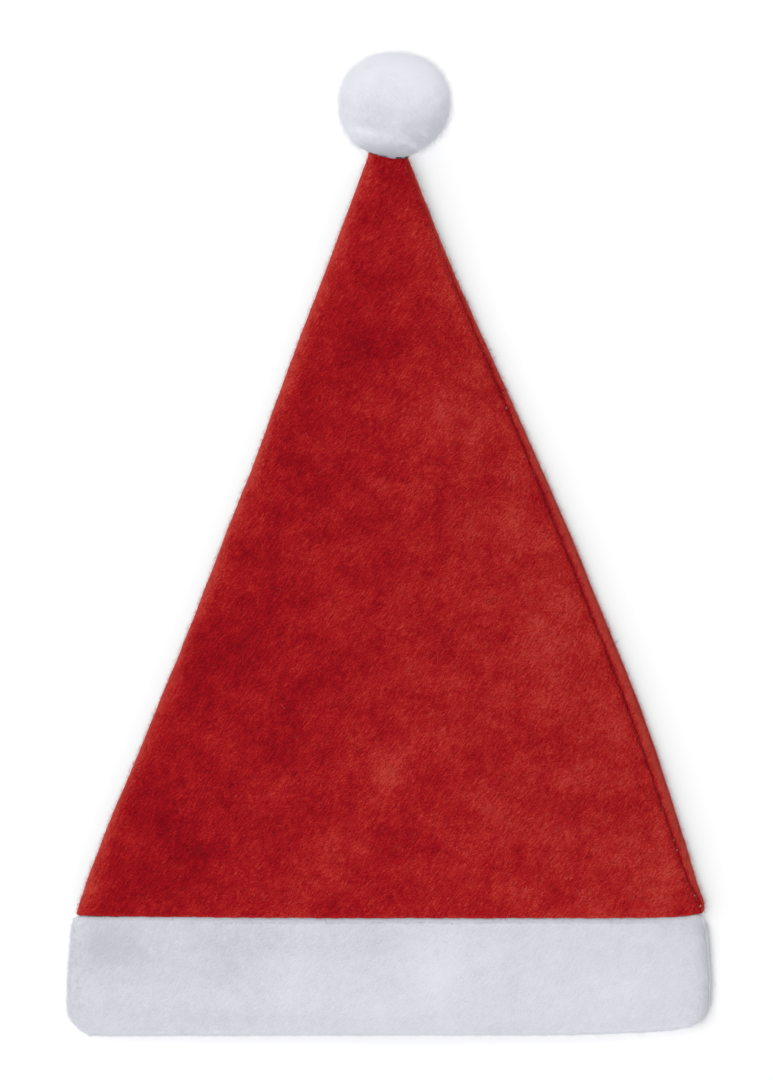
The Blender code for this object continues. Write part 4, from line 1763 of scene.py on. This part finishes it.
def make_neck_tufts(count, seed):
    """Small ragged locks along the pompom's mouth that hang over the tie, coloured dark: painted shade
    of the ball's underside.
    """
    dice = np.random.default_rng(seed)
    x = dice.uniform(*NECK_SPAN, count)
    gap = sum(bell(x - place, half) for place, half in NECK_GAPS)
    x = x[dice.random(count) > 1.1 * gap]
    top = read_table(TIE_LINE, x)
    height = hat_at(top).ridge + NECK_OVER
    tips = np.column_stack((
        x + dice.normal(0, 0.0002, len(x)), top - dice.uniform(-0.0004, 0.0005, len(x)), height))
    tips = np.repeat(tips, NECK_LOCK, axis=0)
    roots = np.column_stack((
        np.repeat(x, NECK_LOCK), np.repeat(top, NECK_LOCK) + NECK_ROOT,
        np.repeat(height, NECK_LOCK)))
    roots += dice.normal(0, 1, roots.shape) * (0.0002, 0.0002, 0.0003)
    along = (tips - roots) * (1, 1, 0)
    ways = np.tile((0.0, 0.0, 1.0), (len(tips), 1))
    size = (np.linalg.norm(along, axis=1), dice.uniform(0.00012, 0.00024, len(tips)))
    # Their low shade is painted shade of the ball's underside
    return grow_fibres(
        "neck_tufts", roots, ways, along, size, dice.uniform(0.0, 0.1, len(tips)),
        np.zeros(len(tips)), 0.03 + dice.uniform(-0.02, 0.08, len(tips)), lean=FUZZ_LEAN)


def make_floor():
    """White paper that glows a little, as an overexposed background does."""
    deselect_all()
    bpy.ops.mesh.primitive_plane_add(size=FLOOR_SIZE, location=(0, 0, 0))
    floor = started("floor")
    paper = plain("white_paper", (PAPER_WHITE, PAPER_WHITE, PAPER_WHITE), 0.9)
    shader = paper.node_tree.nodes["Principled BSDF"]
    shader.inputs["Specular IOR Level"].default_value = 0.0
    shader.inputs["Emission Color"].default_value = (1, 1, 1, 1)
    shader.inputs["Emission Strength"].default_value = PAPER_GLOW
    floor.data.materials.append(paper)


def soft_box(name, place, size, watts):
    light = bpy.data.lights.new(name, "AREA")
    light.shape = "RECTANGLE"
    light.size, light.size_y = size
    light.energy = watts
    lamp = bpy.data.objects.new(name, light)
    lamp.location = place
    lamp.rotation_mode = "QUATERNION"
    lamp.rotation_quaternion = (-Vector(place)).to_track_quat("-Z", "Y")
    bpy.context.scene.collection.objects.link(lamp)


def make_lights():
    world = bpy.data.worlds.new("studio")
    bpy.context.scene.world = world
    world.use_nodes = True
    background = world.node_tree.nodes["Background"]
    background.inputs["Color"].default_value = (1, 1, 1, 1)
    background.inputs["Strength"].default_value = WORLD_STRENGTH
    soft_box("overhead_light", (-0.5, 0.1, 4.6), (3.0, 3.0), 87)
    soft_box("left_light", (-2.1, 0.85, 4.3), (3.0, 3.0), 37)
    soft_box("left_strip", (-3.0, 1.0, 2.0), (6.0, 0.8), 20)
    soft_box("near_strip", (0.0, -3.4, 1.2), (6.0, 0.8), 46)


def make_camera():
    lens = bpy.data.cameras.new("camera")
    lens.lens = CAMERA_LENS
    lens.sensor_width = SENSOR
    lens.clip_end = FAR_CLIP
    camera = bpy.data.objects.new("camera", lens)
    camera.location = (CAMERA_X, CAMERA_Y, CAMERA_HEIGHT)
    bpy.context.scene.collection.objects.link(camera)
    bpy.context.scene.camera = camera


make_camera()
make_lights()
make_floor()
bpy.context.scene.view_settings.view_transform = "Standard"
crown, seam_line, hem_line = make_crown()
band, band_seam_line = make_band()
pompom = make_pompom()
crown_nap = make_crown_nap(crown, 26000, 21)
crown_strands = make_crown_strands(crown, 18000, 24)
band_nap = make_band_nap(band, 18000, 22)
pompom_nap = make_pompom_nap(pompom, 12000, 23)
for cotton in (pompom, pompom_nap):
    cotton.visible_shadow = False
pompom_halo = make_pompom_halo(pompom, 15500, 30)
hem_fibres = make_hem_fibres(crown, 2200, 25)
stray_fibres = make_stray_fibres(crown, 900, 26)
crown_fuzz = make_edge_fuzz("crown_fuzz", crown, 13000, 0.0013, HEM + 0.002, PEAK, 0.75, 28)
# The band's fuzz is grey: painted shade along the band's edges
band_fuzz = make_edge_fuzz("band_fuzz", band, 10000, 0.0014, RIM - 0.01, HEM - 0.004, 0.45, 29)
seam_thread = make_seam_thread(seam_line)
thread_glimpses = make_thread_glimpses(seam_line)
band_thread = make_band_thread(band_seam_line)
hem_shade_thread = make_hem_shade_thread(hem_line)
tie_thread = make_tie_thread()
neck_tufts = make_neck_tufts(190, 27)
groups = (make_felt_streaks(), make_felt_clouds())
red_bloom = (0.12, (1, 0.42, 0.36))
white_bloom = (0.1, (1, 1, 1))
red_thread = plain("red_thread", (0.10, 0.003, 0.006), 0.7)
white_thread = plain("white_thread", (0.75, 0.68, 0.66), 0.6)
# A dark thread colour that stands in for shade, under the pompom's tufts and in the gap below the hem
shade_thread = plain("shade_thread", (0.012, 0.034, 0.042), 0.6)
grey_thread = plain("grey_thread", (0.40, 0.43, 0.48), 0.7)
red = felt_material(
    "red_felt", groups, RED_SHADES, (0.46, 0.23, 0.60, 0.62, 0.48), 0.125, FELT_SLANT, red_bloom,
    0.5, RED_BOUNCE)
white = felt_material(
    "white_felt", groups, WHITE_SHADES, (0.25, 0.3, 0.5, 0.5, 0.4), 0.28, FELT_SLANT,
    white_bloom, 0.2)
plush = felt_material(
    "white_plush", groups, PLUSH_SHADES, (0.25, 0.3, 0.15, 0.3, 0.3), 0.22, 2.4, white_bloom, 0.12)
red_fibre = fibre_material("red_fibre", RED_FIBRE_SHADES, red_bloom, RED_BOUNCE)
white_fibre = fibre_material("white_fibre", WHITE_FIBRE_SHADES, white_bloom)
plush_fibre = fibre_material("plush_fibre", PLUSH_FIBRE_SHADES, white_bloom)
for piece, material, slot, node in (
    (crown, red, "red_felt", "crown"),
    (band, white, "white_felt", "band"),
    (pompom, plush, "white_plush", "pompom"),
    (crown_nap, red_fibre, "red_felt", None),
    (crown_strands, red_fibre, "red_felt", None),
    (band_nap, white_fibre, "white_felt", None),
    (pompom_nap, plush_fibre, "white_plush", None),
    (hem_fibres, red_fibre, "red_felt", None),
    (stray_fibres, red_fibre, "red_felt", None),
    (seam_thread, red_thread, "red_felt", None),
    (thread_glimpses, white_thread, "white_felt", None),
    (tie_thread, shade_thread, "white_plush", None),
    (neck_tufts, plush_fibre, "white_plush", None),
    (pompom_halo, plush_fibre, "white_plush", None),
    (crown_fuzz, red_fibre, "red_felt", None),
    (band_fuzz, white_fibre, "white_felt", None),
    (band_thread, grey_thread, "white_felt", None),
    (hem_shade_thread, shade_thread, "red_felt", None),
):
    piece.data.materials.append(material)
    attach(piece, "root")
    if node:
        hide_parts(node)
